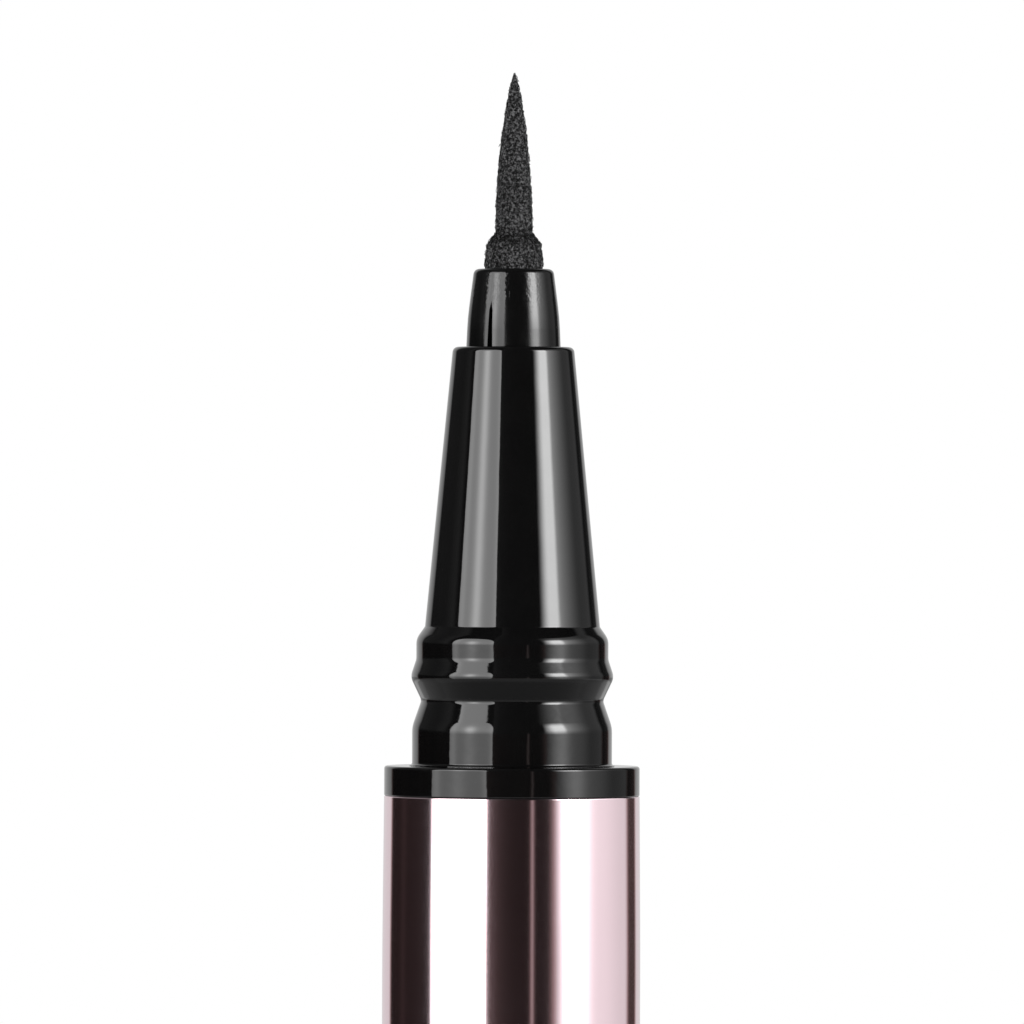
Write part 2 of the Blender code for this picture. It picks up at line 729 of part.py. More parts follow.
def make_cap_liner(frame):
    """The liner: a snap bead in its mouth, a ledge that keeps the inner cap in, a boss for the spring."""
    ledge_base = FLANGE_TOP + FACE_GAP
    ledge_top = ledge_base + LEDGE_THICKNESS
    corners = [
        (0, SPRING_SEAT + BOSS_HEIGHT),
        (BOSS_RADIUS, SPRING_SEAT + BOSS_HEIGHT),
        (BOSS_RADIUS, SPRING_SEAT),
        (CHAMBER_RADIUS, SPRING_SEAT),
        (CHAMBER_RADIUS, ledge_base),
        (CAP_LEDGE_RADIUS, ledge_base),
        (CAP_LEDGE_RADIUS, ledge_top),
        (LINER_BORE, ledge_top + LEDGE_THICKNESS),
        (LINER_BORE, BEAD_MIDDLE - BEAD_SPREAD),
        (LINER_BORE - BEAD_HEIGHT, BEAD_MIDDLE, BEAD_ROUND),
        (LINER_BORE, BEAD_MIDDLE + BEAD_SPREAD),
        (LINER_BORE, LINER_TOP - LINER_MOUTH_CHAMFER),
        (LINER_BORE + LINER_MOUTH_CHAMFER, LINER_TOP),
        (LINER_RADIUS, LINER_TOP),
        (LINER_RADIUS, LINER_BASE, SHELL_RIM),
        (0, LINER_BASE),
    ]
    return turned("cap_liner", corners, LINER_BASE, frame, gloss_black("cap_liner"))


def make_inner_cap(frame):
    """The sprung cup that closes over the nib and seals on the cone, with a flange that retains it."""
    corners = [
        (0, INNER_CAP_BASE + INNER_CAP_FLOOR),
        (INNER_CAP_BORE, INNER_CAP_BASE + INNER_CAP_FLOOR),
        (INNER_CAP_BORE, INNER_CAP_TOP - INNER_CAP_LIP_CHAMFER),
        (INNER_CAP_BORE + INNER_CAP_LIP_CHAMFER, INNER_CAP_TOP),
        (INNER_CAP_RADIUS, INNER_CAP_TOP),
        (INNER_CAP_RADIUS, FLANGE_TOP),
        (FLANGE_RADIUS, FLANGE_TOP),
        (FLANGE_RADIUS, INNER_CAP_BASE),
        (0, INNER_CAP_BASE),
    ]
    return turned("inner_cap", corners, INNER_CAP_BASE, frame, milky_plastic("inner_cap"))


def make_cap_spring(frame):
    """One unbroken helix of wire, with a closed turn at each end and the open turns between."""
    closed_rise = 2 * WIRE_RADIUS + CLOSED_TURN_GAP
    open_rise = SPRING_LENGTH - 2 * WIRE_RADIUS - 2 * closed_rise
    open_turns = SPRING_TURNS - 2
    count = SPRING_TURNS * SPRING_POINTS_PER_TURN + 1
    curve = bpy.data.curves.new("cap_spring", "CURVE")
    curve.dimensions = "3D"
    curve.bevel_depth = WIRE_RADIUS
    curve.bevel_resolution = 1
    curve.use_fill_caps = True
    spline = curve.splines.new("POLY")
    spline.points.add(count - 1)
    for number in range(count):
        turn = number / SPRING_POINTS_PER_TURN
        opened = min(max(turn - 1, 0), open_turns)
        height = WIRE_RADIUS + (turn - opened) * closed_rise + opened * open_rise / open_turns
        angle = turn * math.tau
        x = SPRING_RADIUS * math.cos(angle)
        y = SPRING_RADIUS * math.sin(angle)
        spline.points[number].co = (x, y, height, 1)
    spring = bpy.data.objects.new("cap_spring", curve)
    return place(spring, frame, SPRING_BASE, steel("cap_spring"))


# Finishing


def settle(obj):
    """Keeps a piece's finished mesh and shades it smooth, with its real edges sharp."""
    graph = bpy.context.evaluated_depsgraph_get()
    mesh = bpy.data.meshes.new_from_object(obj.evaluated_get(graph))
    obj.modifiers.clear()
    obj.data = mesh
    mesh.name = obj.name
    mesh.shade_smooth()
    mesh.set_sharp_from_angle(angle=SHARP_ANGLE)


clear_scene()
PIECES = new_collection("liquid_eyeliner_pen")
CUTTERS = new_collection("cutters")

cap_frame = frame_at("cap_frame", 0)
pen_frame = frame_at("pen_frame", COLLAR_TOP_IN_CAP, cap_frame)

make_nib(pen_frame)
make_nib_holder(pen_frame)
make_front_section(pen_frame)
trim_ring("collar_ring", -COLLAR_HEIGHT, COLLAR_HEIGHT, RING_EDGE, SEAM_EDGE, pen_frame)
make_collector(pen_frame)
make_relay_core(pen_frame)
seal_ring("front_seal_ring", SLEEVE_TOP - SPIGOT_DEPTH * SEAL_PLACE_SHARE, pen_frame)
make_ball_stop_cup(pen_frame)
make_mixing_ball(pen_frame)
make_ink_tank(pen_frame)
make_barrel_sleeve(pen_frame)
trim_ring("tail_ring", TAIL_RING_BASE, TAIL_RING_HEIGHT, SEAM_EDGE, RING_EDGE, pen_frame)
make_tail_plug(pen_frame)
seal_ring("tail_seal_ring", SLEEVE_BASE + PLUG_DEPTH * SEAL_PLACE_SHARE, pen_frame)
make_cap_shell(cap_frame)
make_cap_liner(cap_frame)
make_inner_cap(cap_frame)
make_cap_spring(cap_frame)

bpy.context.view_layer.update()
for piece in list(PIECES.objects):
    if piece.type == "MESH":
        settle(piece)
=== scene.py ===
"""The looks of a liquid eyeliner pen without its cap on, which stands on the cap posted on its tail.

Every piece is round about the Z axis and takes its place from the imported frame. Lengths are in metres.
"""

import math

import bmesh
import bpy
from mathutils import Matrix, Vector


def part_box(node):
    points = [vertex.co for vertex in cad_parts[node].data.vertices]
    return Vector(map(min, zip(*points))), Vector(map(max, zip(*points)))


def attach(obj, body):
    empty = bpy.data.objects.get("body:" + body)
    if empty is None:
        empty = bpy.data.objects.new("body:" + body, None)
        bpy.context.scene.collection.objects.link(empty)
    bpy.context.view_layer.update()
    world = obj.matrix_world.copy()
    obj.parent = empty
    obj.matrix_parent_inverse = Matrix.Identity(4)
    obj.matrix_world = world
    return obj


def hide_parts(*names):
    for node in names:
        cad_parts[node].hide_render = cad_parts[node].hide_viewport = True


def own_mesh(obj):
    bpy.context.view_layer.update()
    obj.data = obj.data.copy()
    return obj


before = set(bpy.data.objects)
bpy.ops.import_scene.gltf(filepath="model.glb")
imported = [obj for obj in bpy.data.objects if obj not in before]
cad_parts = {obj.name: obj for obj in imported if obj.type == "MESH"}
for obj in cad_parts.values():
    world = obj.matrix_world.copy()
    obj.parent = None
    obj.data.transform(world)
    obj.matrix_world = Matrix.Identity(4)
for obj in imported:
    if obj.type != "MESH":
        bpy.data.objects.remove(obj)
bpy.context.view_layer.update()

MM = 0.001

# Clearances, as the solids have them
SEAT_GAP = 0.05 * MM
FACE_GAP = 0.05 * MM
SLIDE_GAP = 0.1 * MM
SEAL_GAP = 0.03 * MM
CAP_GAP = 0.05 * MM
FIN_GAP = 0.08 * MM
COIL_GAP = 0.25 * MM
SEAM_GAP = 0.01 * MM  # closes an outer seam that the solids leave open by FACE_GAP

# Barrel and trim rings
SLEEVE_WALL = 0.45 * MM
SLEEVE_EDGE = 0.06 * MM
SLEEVE_SWELL = 0.055 * MM
SWELL_LENGTH = 6.5 * MM
SWELL_ROUND = 300 * MM
RING_EDGE = 0.12 * MM
SEAM_EDGE = 0.04 * MM  # of a trim ring beside the metal

# Neck, groove, rib and band
FOOT_WIDTH = 0.12 * MM
FOOT_EDGE = 0.03 * MM
FOOT_ROUND = 0.1 * MM
NECK_LENGTH = 1.687 * MM
NECK_ROUND = 1.4 * MM
GROOVE_DEPTH = 0.397 * MM
GROOVE_NEAR_SLOPE = 1.145 * MM
GROOVE_FAR_SLOPE = 1.01 * MM
GROOVE_ROUND = 0.32 * MM
RIB_RISE = 0.082 * MM
RIB_SLOPE = 0.76 * MM
RIB_ROUND = 0.6 * MM
BAND_INSET = 0.17 * MM
BAND_LENGTH = 0.89 * MM
BAND_ROUND = 0.65 * MM

# Cone and nib holder
SHOULDER_LENGTH = 0.525 * MM
SHOULDER_ROUND = 0.7 * MM
CONE_INSET = 0.54 * MM
CONE_FOOT_ROUND = 0.12 * MM
CONE_LIP = 0.574 * MM
CONE_EDGE = 0.24 * MM
HOLDER_SEAT_WALL = 0.7 * MM
HOLDER_TAPER_LENGTH = 2.12 * MM
HOLDER_FLARE = 0.056 * MM
HOLDER_FLARE_ROUND = 12 * MM
HOLDER_LIP = 0.415 * MM
HOLDER_EDGE = 0.25 * MM
VENT_COUNT = 3
VENT_FIRST_ANGLE = math.radians(-120.3)
VENT_START = 1.4 * MM
VENT_LENGTH = 3.0 * MM
VENT_WIDTH = 0.3 * MM
VENT_POINT_LENGTH = 0.4 * MM
VENT_POINT_SHARE = 0.54  # of the full width, where the blunt point ends
VENT_DEPTH = 0.5 * MM

# Nib and the felt on it
NIB_BASE_LENGTH = 0.24 * MM
NIB_WAIST_LENGTH = 0.82 * MM
NIB_WAIST_INSET = 0.091 * MM
NIB_BEVEL_LENGTH = 0.52 * MM
NIB_TAPER_RADIUS = 0.782 * MM
NIB_FULLNESS_POWER = 1.85
NIB_POINT_POWER = 0.82
NIB_BLUNT_SHARE = 0.012
NIB_CROWDING_POWER = 1.2
NIB_SOCKET_DEPTH = 2.0 * MM
NIB_REAR_CHAMFER = 0.2 * MM
GRAIN_SIZE = 0.13 * MM
GRAIN_DEPTH = 0.06 * MM
GRAIN_DETAIL = 2.0
GRAIN_ROUGHNESS = 0.6
GRAIN_ROW = 0.036 * MM
FIBRE_LENGTH = 0.24 * MM
FIBRE_RADIUS = 0.013 * MM
FIBRE_SPACING = 0.12 * MM
FIBRE_BOW_SHARE = 0.5
FIBRE_LIFT_SHARE = 0.4
FIBRE_TONE_SHARES = (0.2, 1.0)
FIBRE_SIZE_SHARES = (0.5, 1.3)
FIBRE_SEED = 7

# Ink feed, tank and seals
COLLECTOR_TUBE_WALL = 0.6 * MM
FIN_COUNT = 14
FIN_THICKNESS_SHARE = 0.5
FIN_EDGE = 0.05 * MM
COLLECTOR_SLOT_WIDTH = 0.5 * MM
COLLECTOR_SLOT_BITE = 0.2 * MM
LEDGE_CLEARANCE = 0.45 * MM
RELAY_POINT = 0.4 * MM
CORE_EDGE = 0.1 * MM
TANK_WALL = 1.0 * MM
TANK_LEDGE = 0.2 * MM
SPIGOT_WALL = 1.0 * MM
SPIGOT_LEAD = 0.3 * MM
SEAL_SECTION = 0.6 * MM
CUP_FLOOR = 0.8 * MM
CUP_WALL = 0.5 * MM
CUP_EDGE = 0.08 * MM
CUP_CENTRE_HOLE_RADIUS = 0.8 * MM
CUP_HOLE_RADIUS = 0.45 * MM
CUP_HOLE_CIRCLE_RADIUS = 2.2 * MM
CUP_HOLE_COUNT = 6

# Tail plug
PLUG_DEPTH = 6.0 * MM
PLUG_CORE_WALL = 1.0 * MM
PLUG_CORE_DEPTH = 7.0 * MM
PLUG_END_ROUND = 0.5 * MM
DISH_RADIUS = 3.0 * MM
DISH_DEPTH = 0.5 * MM

# Cap
SHELL_WALL = 0.45 * MM
SHELL_END_WALL = 0.5 * MM
SHELL_CORNER = 0.6 * MM
SHELL_RIM = 0.1 * MM
LINER_WALL = 0.55 * MM
LINER_MOUTH_CHAMFER = 0.25 * MM
BEAD_HEIGHT = 0.1 * MM
BEAD_SPREAD = 0.4 * MM
BEAD_ROUND = 0.5 * MM
INNER_CAP_WALL = 0.6 * MM
INNER_CAP_FLOOR = 0.8 * MM
INNER_CAP_LIP_CHAMFER = 0.2 * MM
FLANGE_WIDTH = 0.5 * MM
FLANGE_THICKNESS = 0.9 * MM
LEDGE_UNDERCUT = 0.2 * MM
LEDGE_THICKNESS = 0.8 * MM
BOSS_HEIGHT = 1.5 * MM
WIRE_RADIUS = 0.2 * MM
SPRING_RADIUS = 2.8 * MM
SPRING_TURNS = 6
CLOSED_TURN_GAP = 0.1 * MM

# Fineness
ROUND_STEPS = 256
INNER_STEPS = 128
NIB_STEPS = 220
HOLE_STEPS = 32
WIRE_STEPS = 16
COIL_STEPS = 288
BALL_ROWS = 64
SEAL_SECTION_STEPS = 32
ARC_STEP = math.radians(6)
ROUNDED_SHARE = 0.49  # the most of a run that a fillet takes where its far end is rounded too
PLAIN_SHARE = 0.98
SUPPORT = 0.02 * MM  # from a corner to the edge loop that keeps the run beside it flat
SHARP_ANGLE = math.radians(30)
CUT_OVERRUN = 0.5 * MM

# Camera, from places in the photograph
PHOTO_SIDE = 1024
PIXEL = 0.043206 * MM
COLLAR_TOP_ROW = 765.45
AXIS_COLUMN = 512.4
CAMERA_DISTANCE = 527 * MM
SENSOR_WIDTH = 36  # in Blender's own millimetres
AXIS_LEAN = math.radians(0.215)

# Stage
FLOOR_RADIUS = 500 * MM
FLOOR_DROP = 0.05 * MM
FLOOR_FADE_START = 150 * MM
FLOOR_FADE_END = 400 * MM
FLOOR_LIFT_SHARE = 0.35
MIRRORED_FADE_START = 110 * MM
MIRRORED_FADE_END = 240 * MM

# The left light, by direction in degrees
LEFT_BEARING = -49.8
LEFT_HALF_WIDTH = 27.4
LEFT_TILT = 8
LEFT_HALF_HEIGHT = 29.8


# Nodes


class Flow:
    """An output of a node. Sums and products of these add Math nodes to the tree."""

    def __init__(self, tree, socket=None):
        self.tree = tree
        self.socket = socket

    def node(self, kind, sockets=(), output=0, stops=(), **settings):
        """Adds a node with its settings and stops, then fills its sockets, by place or by name."""
        made = self.tree.nodes.new(kind)
        for name, value in settings.items():
            setattr(made, name, value)
        for number, (where, colour) in enumerate(stops):
            elements = made.color_ramp.elements
            stop = elements[number] if number < 2 else elements.new(where)
            stop.position = where
            stop.color = (*colour, 1)
        pairs = sockets.items() if isinstance(sockets, dict) else enumerate(sockets)
        for key, value in pairs:
            if isinstance(value, Flow):
                self.tree.links.new(value.socket, made.inputs[key])
            else:
                made.inputs[key].default_value = value
        if made.outputs:
            return Flow(self.tree, made.outputs[output])

    def beside(self, output):
        """Another output of the same node."""
        return Flow(self.tree, self.socket.node.outputs[output])

    def maths(self, operation, *others):
        return self.node("ShaderNodeMath", (self, *others), operation=operation)

    def __add__(self, other):
        return self.maths("ADD", other)

    def __sub__(self, other):
        return self.maths("SUBTRACT", other)

    def __mul__(self, other):
        return self.maths("MULTIPLY", other)

    def __truediv__(self, other):
        return self.maths("DIVIDE", other)

    def __pow__(self, other):
        return self.maths("POWER", other)

    def __abs__(self):
        return self.maths("ABSOLUTE")

    __radd__ = __add__
    __rmul__ = __mul__

    def __rsub__(self, other):
        return self.node("ShaderNodeMath", (other, self), operation="SUBTRACT")

    def __rtruediv__(self, other):
        return self.node("ShaderNodeMath", (other, self), operation="DIVIDE")

    def least(self, other):
        return self.maths("MINIMUM", other)

    def most(self, other):
        return self.maths("MAXIMUM", other)

    def rise(self, low, high):
        """0 below low, 1 above high, and a smooth rise between them."""
        sockets = {"Value": self, "From Min": low, "From Max": high}
        return self.node("ShaderNodeMapRange", sockets, interpolation_type="SMOOTHSTEP")

    def window(self, low, high, soft):
        """1 between low and high, with soft edges that lie half inside."""
        half = soft / 2
        return self.rise(low - half, low + half) * (1 - self.rise(high - half, high + half))

    def bell(self, middle, spread):
        """1 at middle, falling away with this standard deviation."""
        distance = (self - middle) / spread
        return (distance * distance * -0.5).maths("EXPONENT")

    def decay(self, start, length):
        """1 below start, and e times less for each such length above it."""
        return (((self - start) / length).most(0) * -1).maths("EXPONENT")

    def scaled(self, x, y, z):
        """A vector with its parts multiplied."""
        return self.node("ShaderNodeVectorMath", (self, (x, y, z)), operation="MULTIPLY")

    def part(self, axis):
        return self.node("ShaderNodeSeparateXYZ", (self,), output=axis)

    def noise(self, size, detail=2.0, roughness=0.5):
        """Noise from 0 to 1, with blobs of about this size."""
        sockets = {"Vector": self, "Scale": 1 / size, "Detail": detail, "Roughness": roughness}
        return self.node("ShaderNodeTexNoise", sockets)

    def blend(self, first, second):
        """A colour from first to second as this value goes from 0 to 1."""
        sockets = {0: self, 6: (*first, 1), 7: (*second, 1)}
        return self.node("ShaderNodeMix", sockets, output=2, data_type="RGBA", clamp_factor=True)


# Finishes


def surface(name, **constants):
    """A Principled material with its constants, its shader and the place on the piece."""
    material = bpy.data.materials.new(name)
    material.use_nodes = True
    shader = material.node_tree.nodes["Principled BSDF"]
    for socket, value in constants.items():
        shader.inputs[socket.replace("_", " ")].default_value = value
    place = Flow(material.node_tree).node("ShaderNodeTexCoord", output="Object")
    return material, shader, place


def paint(shader, base, roughness, height, depth):
    """Feeds in the colour, the roughness, and heights of 0 to 1 that stand for this depth of bump."""
    normal = height.node("ShaderNodeBump", {"Height": height, "Distance": depth, "Strength": 1.0})
    for socket, flow in (("Base Color", base), ("Roughness", roughness), ("Normal", normal)):
        flow.tree.links.new(flow.socket, shader.inputs[socket])


def show(flow):
    """Makes this shader the one that the material shows."""
    output = flow.tree.nodes["Material Output"]
    flow.tree.links.new(flow.socket, output.inputs["Surface"])


def gloss_black_plastic(name, gloss, haze, waves, scuffs):
    """Glossy moulded plastic with faint waves, weaker on the cone, with scuffs near the nib, and with
    painted shade on the slope under the rib.
    """
    material, shader, place = surface(name, IOR=1.5, Specular_IOR_Level=gloss)
    cloud = place.noise(1.3 * MM, detail=3)
    marks = place.scaled(1, 1, 0.12).noise(0.11 * MM, detail=4, roughness=0.7)
    scratch = marks.rise(0.62, 0.78)
    deep = (0.0022, 0.0022, 0.0023)
    worn = (0.0042, 0.0041, 0.0041)
    tone = (0.7 * cloud + 0.3 * marks.rise(0.4, 0.75)).blend(deep, worn)
    roughness = 0.035 + haze * cloud + 0.12 * haze * scratch
    height = place.part("Z")
    swell = place.noise(1.6 * MM, detail=1)
    ripple = place.noise(0.4 * MM, detail=1) * (0.4 - 0.3 * height.rise(BAND_TOP, CONE_BASE))
    fine = place.noise(0.09 * MM, detail=2)
    nicks = place.noise(0.16 * MM, detail=2) * height.rise(HOLDER_TOP - 2 * MM, HOLDER_TOP - MM)
    relief = swell + ripple + 0.03 * fine + scuffs * (nicks + 0.15 * scratch)
    paint(shader, tone, roughness, relief, waves)
    # At a slant the gloss is weaker, as a polarising filter on the lens shows it.
    facing = place.node("ShaderNodeLayerWeight", {"Blend": 0.5}, output="Facing")
    slanting = 0.65 * facing.rise(0.22, 0.4) * (1 - facing.rise(0.58, 0.72))
    # Painted shade: on the slope under the rib the gloss is mixed down to matt black, so that slope shows
    # darker.
    groove = COLLAR_TOP + NECK_LENGTH + GROOVE_NEAR_SLOPE
    painted_shade_slope = height.window(groove, groove + GROOVE_FAR_SLOPE, 0.08 * MM)
    dimmed = slanting.most(0.66 * painted_shade_slope * (1 - 0.4 * facing))
    matt = place.node("ShaderNodeBsdfDiffuse", {"Color": (*deep, 1)})
    show(dimmed.node("ShaderNodeMixShader", (dimmed, Flow(place.tree, shader.outputs["BSDF"]), matt)))
    return material


def rose_gold_metal():
    """Polished, anodised aluminium with faint polishing lines round the tube."""
    material, shader, place = surface("rose_gold_metal", Metallic=1.0)
    cloud = place.noise(6 * MM, detail=3)
    lines = place.scaled(0.02, 0.02, 1).noise(0.05 * MM, detail=4, roughness=0.7)
    deep = (0.885, 0.69, 0.74)
    light = (0.915, 0.73, 0.78)
    base = (0.7 * cloud + 0.3 * lines).blend(deep, light)
    relief = lines + 0.5 * place.noise(0.2 * MM)
    paint(shader, base, 0.08 + 0.02 * cloud + 0.03 * lines, relief, 0.00004 * MM)
    return material


def black_felt():
    """Inked felt with painted shade in the pits between grains and painted light on the grain tops, and
    single fibres that are a little drier.
    """
    material, shader, place = surface("black_felt", Specular_IOR_Level=0.06)
    grain = place.noise(GRAIN_SIZE, GRAIN_DETAIL, GRAIN_ROUGHNESS)
    speck = place.noise(0.09 * MM, detail=1)
    fibre = place.node("ShaderNodeAttribute", output="Fac", attribute_name="fibre")
    taper_base = HOLDER_TOP + NIB_BASE_LENGTH + NIB_WAIST_LENGTH + NIB_BEVEL_LENGTH
    bevel = place.part("Z").window(taper_base - NIB_BEVEL_LENGTH, taper_base, NIB_BEVEL_LENGTH)
    # Painted shade and light: the tone rises with the same grain and speck heights as the bump, so pits
    # are darker and grain tops lighter; the fibres are lighter and the bevel darker.
    tone = 0.5 * grain.rise(0.38, 0.62) + 0.5 * speck.rise(0.38, 0.62) + 0.35 * fibre - 0.25 * bevel
    stops = (
        (0.0, (0.003, 0.003, 0.003)),
        (0.3, (0.010, 0.010, 0.010)),
        (0.65, (0.04, 0.04, 0.041)),
        (1.0, (0.12, 0.12, 0.122)),
    )
    base = tone.node("ShaderNodeValToRGB", (tone,), stops=stops)
    paint(shader, base, 0.75 + 0.25 * speck, 0.5 * grain + 0.5 * speck, 0.04 * MM)
    return material


def milky_plastic():
    """Natural, slightly cloudy moulded plastic."""
    material, shader, place = surface("milky_plastic", IOR=1.5, Subsurface_Weight=0.25)
    shader.inputs["Subsurface Scale"].default_value = 0.4 * MM
    cloud = place.noise(0.9 * MM, detail=3)
    fine = place.noise(0.05 * MM, detail=3)
    base = cloud.blend((0.76, 0.76, 0.72), (0.84, 0.84, 0.81))
    paint(shader, base, 0.32 + 0.16 * fine, cloud + 0.3 * fine, 0.001 * MM)
    return material


def tank_plastic():
    """Satin black plastic with fine drawing lines along the tube."""
    material, shader, place = surface("tank_plastic", IOR=1.5)
    lines = place.scaled(1, 1, 0.02).noise(0.06 * MM, detail=3)
    cloud = place.noise(2 * MM, detail=2)
    base = cloud.blend((0.020, 0.020, 0.022), (0.032, 0.032, 0.034))
    paint(shader, base, 0.28 + 0.18 * lines, lines, 0.0015 * MM)
    return material


def inked_fibre():
    """A bundle of fibres that run along the core, soaked with ink."""
    material, shader, place = surface("inked_fibre", Specular_IOR_Level=0.3)
    strands = place.scaled(1, 1, 0.03).noise(0.05 * MM, detail=4, roughness=0.65)
    stain = place.noise(1.2 * MM, detail=2)
    tone = (strands * 0.8 + stain * 0.3).rise(0.3, 0.8)
    base = tone.blend((0.02, 0.02, 0.022), (0.13, 0.13, 0.135))
    paint(shader, base, 0.7 + 0.25 * strands, strands, 0.02 * MM)
    return material


def seal_rubber():
    """Black rubber with a fine matt skin and a little bloom."""
    material, shader, place = surface("seal_rubber", Specular_IOR_Level=0.4)
    bloom = place.noise(0.7 * MM, detail=4)
    fine = place.noise(0.04 * MM, detail=2)
    base = bloom.blend((0.014, 0.014, 0.014), (0.035, 0.035, 0.036))
    paint(shader, base, 0.5 + 0.2 * bloom, fine, 0.002 * MM)
    return material


def bright_steel():
    """Stainless steel with drawing marks."""
    material, shader, place = surface("bright_steel", Metallic=1.0)
    cloud = place.noise(0.5 * MM, detail=3)
    marks = place.scaled(1, 1, 0.2).noise(0.03 * MM, detail=4, roughness=0.7)
    base = cloud.blend((0.56, 0.56, 0.57), (0.68, 0.67, 0.66))
    paint(shader, base, 0.14 + 0.14 * marks, marks, 0.0008 * MM)
    return material


# Outlines


def rounded_corner(before, corner, after):
    """The points of the arc that rounds a corner."""
    at = Vector(corner[:2])
    if len(corner) < 3:
        return [at]
    back = Vector(before[:2]) - at
    on = Vector(after[:2]) - at
    half_angle = back.angle(on) / 2
    back_room = back.length * (ROUNDED_SHARE if len(before) > 2 else PLAIN_SHARE)
    on_room = on.length * (ROUNDED_SHARE if len(after) > 2 else PLAIN_SHARE)
    reach = min(corner[2] / math.tan(half_angle), back_room, on_room)
    radius = reach * math.tan(half_angle)
    centre = at + (back.normalized() + on.normalized()).normalized() * radius / math.sin(half_angle)
    start = at + back.normalized() * reach - centre
    end = at + on.normalized() * reach - centre
    turn = math.pi - 2 * half_angle
    steps = max(2, math.ceil(turn / ARC_STEP))
    points = []
    for step in range(steps + 1):
        angle = turn * step / steps
        mixed = start * math.sin(turn - angle) + end * math.sin(angle)
        points.append(centre + mixed / math.sin(turn))
    return points


def outline(corners):
    """All points of an outline from its corners, each (radius, height) or (radius, height, fillet).

    An outline that starts on the axis ends there too. Long runs get an edge loop near each end.
    """
    closed = corners[0][0] > 0
    bends = []
    for number, corner in enumerate(corners):
        if not closed and number in (0, len(corners) - 1):
            bends.append([Vector(corner[:2])])
        else:
            after = corners[(number + 1) % len(corners)]
            bends.append(rounded_corner(corners[number - 1], corner, after))
    points = []
    for number, bend in enumerate(bends):
        points += bend
        if closed or number < len(bends) - 1:
            run = bends[(number + 1) % len(bends)][0] - bend[-1]
            if run.length > 4 * SUPPORT:
                points.append(bend[-1] + run.normalized() * SUPPORT)
                points.append(bend[-1] + run - run.normalized() * SUPPORT)
    return points


def snap_corners(base, way):
    """Neck, groove, rib and band, counted from base, going up with way 1 or down with way -1."""
    neck_end = base + way * NECK_LENGTH
    groove = neck_end + way * GROOVE_NEAR_SLOPE
    rib = groove + way * GROOVE_FAR_SLOPE
    band = rib + way * RIB_SLOPE
    return [
        (NECK_RADIUS, neck_end, NECK_ROUND),
        (NECK_RADIUS - GROOVE_DEPTH, groove, GROOVE_ROUND),
        (NECK_RADIUS + RIB_RISE, rib, RIB_ROUND),
        (BAND_RADIUS, band, BAND_ROUND),
    ]


def seal_groove(middle):
    half = SEAL_SECTION / 2 + SEAL_GAP
    return [
        (SPIGOT_RADIUS, middle + half),
        (SEAL_SEAT, middle + half),
        (SEAL_SEAT, middle - half),
        (SPIGOT_RADIUS, middle - half),
    ]


# Meshes and pieces


def turned_mesh(name, points, steps):
    """A closed mesh from an outline that runs down its outer side."""
    closed = points[0].x > 0
    turns = [(math.cos(math.tau * k / steps), math.sin(math.tau * k / steps)) for k in range(steps)]
    verts, rings = [], []
    for point in points:
        if point.x > 0:
            rings.append([len(verts) + k for k in range(steps)])
            verts += [(point.x * c, point.x * s, point.y) for c, s in turns]
        else:
            rings.append([len(verts)] * steps)
            verts.append((0, 0, point.y))
    faces = []
    for number in range(len(points) if closed else len(points) - 1):
        upper = rings[number]
        lower = rings[(number + 1) % len(points)]
        for k in range(steps):
            after = (k + 1) % steps
            ring = (upper[k], lower[k], lower[after], upper[after])
            faces.append(tuple(dict.fromkeys(ring)))
    mesh = bpy.data.meshes.new(name)
    mesh.from_pydata(verts, [], faces)
    return mesh


def placed(name, data):
    """A new object in the scene, of this mesh or camera."""
    obj = bpy.data.objects.new(name, data)
    bpy.context.scene.collection.objects.link(obj)
    return obj


def piece(node, mesh, material, body):
    """Shows a mesh in place of a CAD node, riding on the node's body."""
    obj = placed(f"fine_{node}", mesh)
    mesh.materials.clear()
    mesh.materials.append(material)
    mesh.shade_smooth()
    mesh.set_sharp_from_angle(angle=SHARP_ANGLE)
    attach(obj, body)
    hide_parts(node)
    return obj


def turned_piece(node, corners, material, body, steps=ROUND_STEPS):
    return piece(node, turned_mesh(node, outline(corners), steps), material, body)


def new_tree(name, sizes):
    """A geometry tree with these inputs, by name and kind, and a material. Returns it with its inputs."""
    tree = bpy.data.node_groups.new(name, "GeometryNodeTree")
    tree.interface.new_socket("Geometry", in_out="OUTPUT", socket_type="NodeSocketGeometry")
    tree.interface.new_socket("Geometry", in_out="INPUT", socket_type="NodeSocketGeometry")
    for size, kind in (*sizes.items(), ("Material", "Material")):
        tree.interface.new_socket(size, in_out="INPUT", socket_type=f"NodeSocket{kind}")
    return tree, Flow(tree).node("NodeGroupInput")


def joined(first, second):
    """Two geometries as one."""
    both = first.node("GeometryNodeJoinGeometry", (first,))
    both.tree.links.new(second.socket, both.socket.node.inputs[0])
    return both


def random_value(flow, low, high, seed):
    sockets = {2: low, 3: high, "Seed": seed}
    return flow.node("FunctionNodeRandomValue", sockets, output=1, data_type="FLOAT")


def close_tree(geometry, given):
    """Ends a tree with real meshes in its material."""
    real = geometry.node("GeometryNodeRealizeInstances", (geometry,))
    sockets = {"Geometry": real, "Material": given.beside("Material")}
    painted = real.node("GeometryNodeSetMaterial", sockets)
    painted.node("NodeGroupOutput", (painted,))


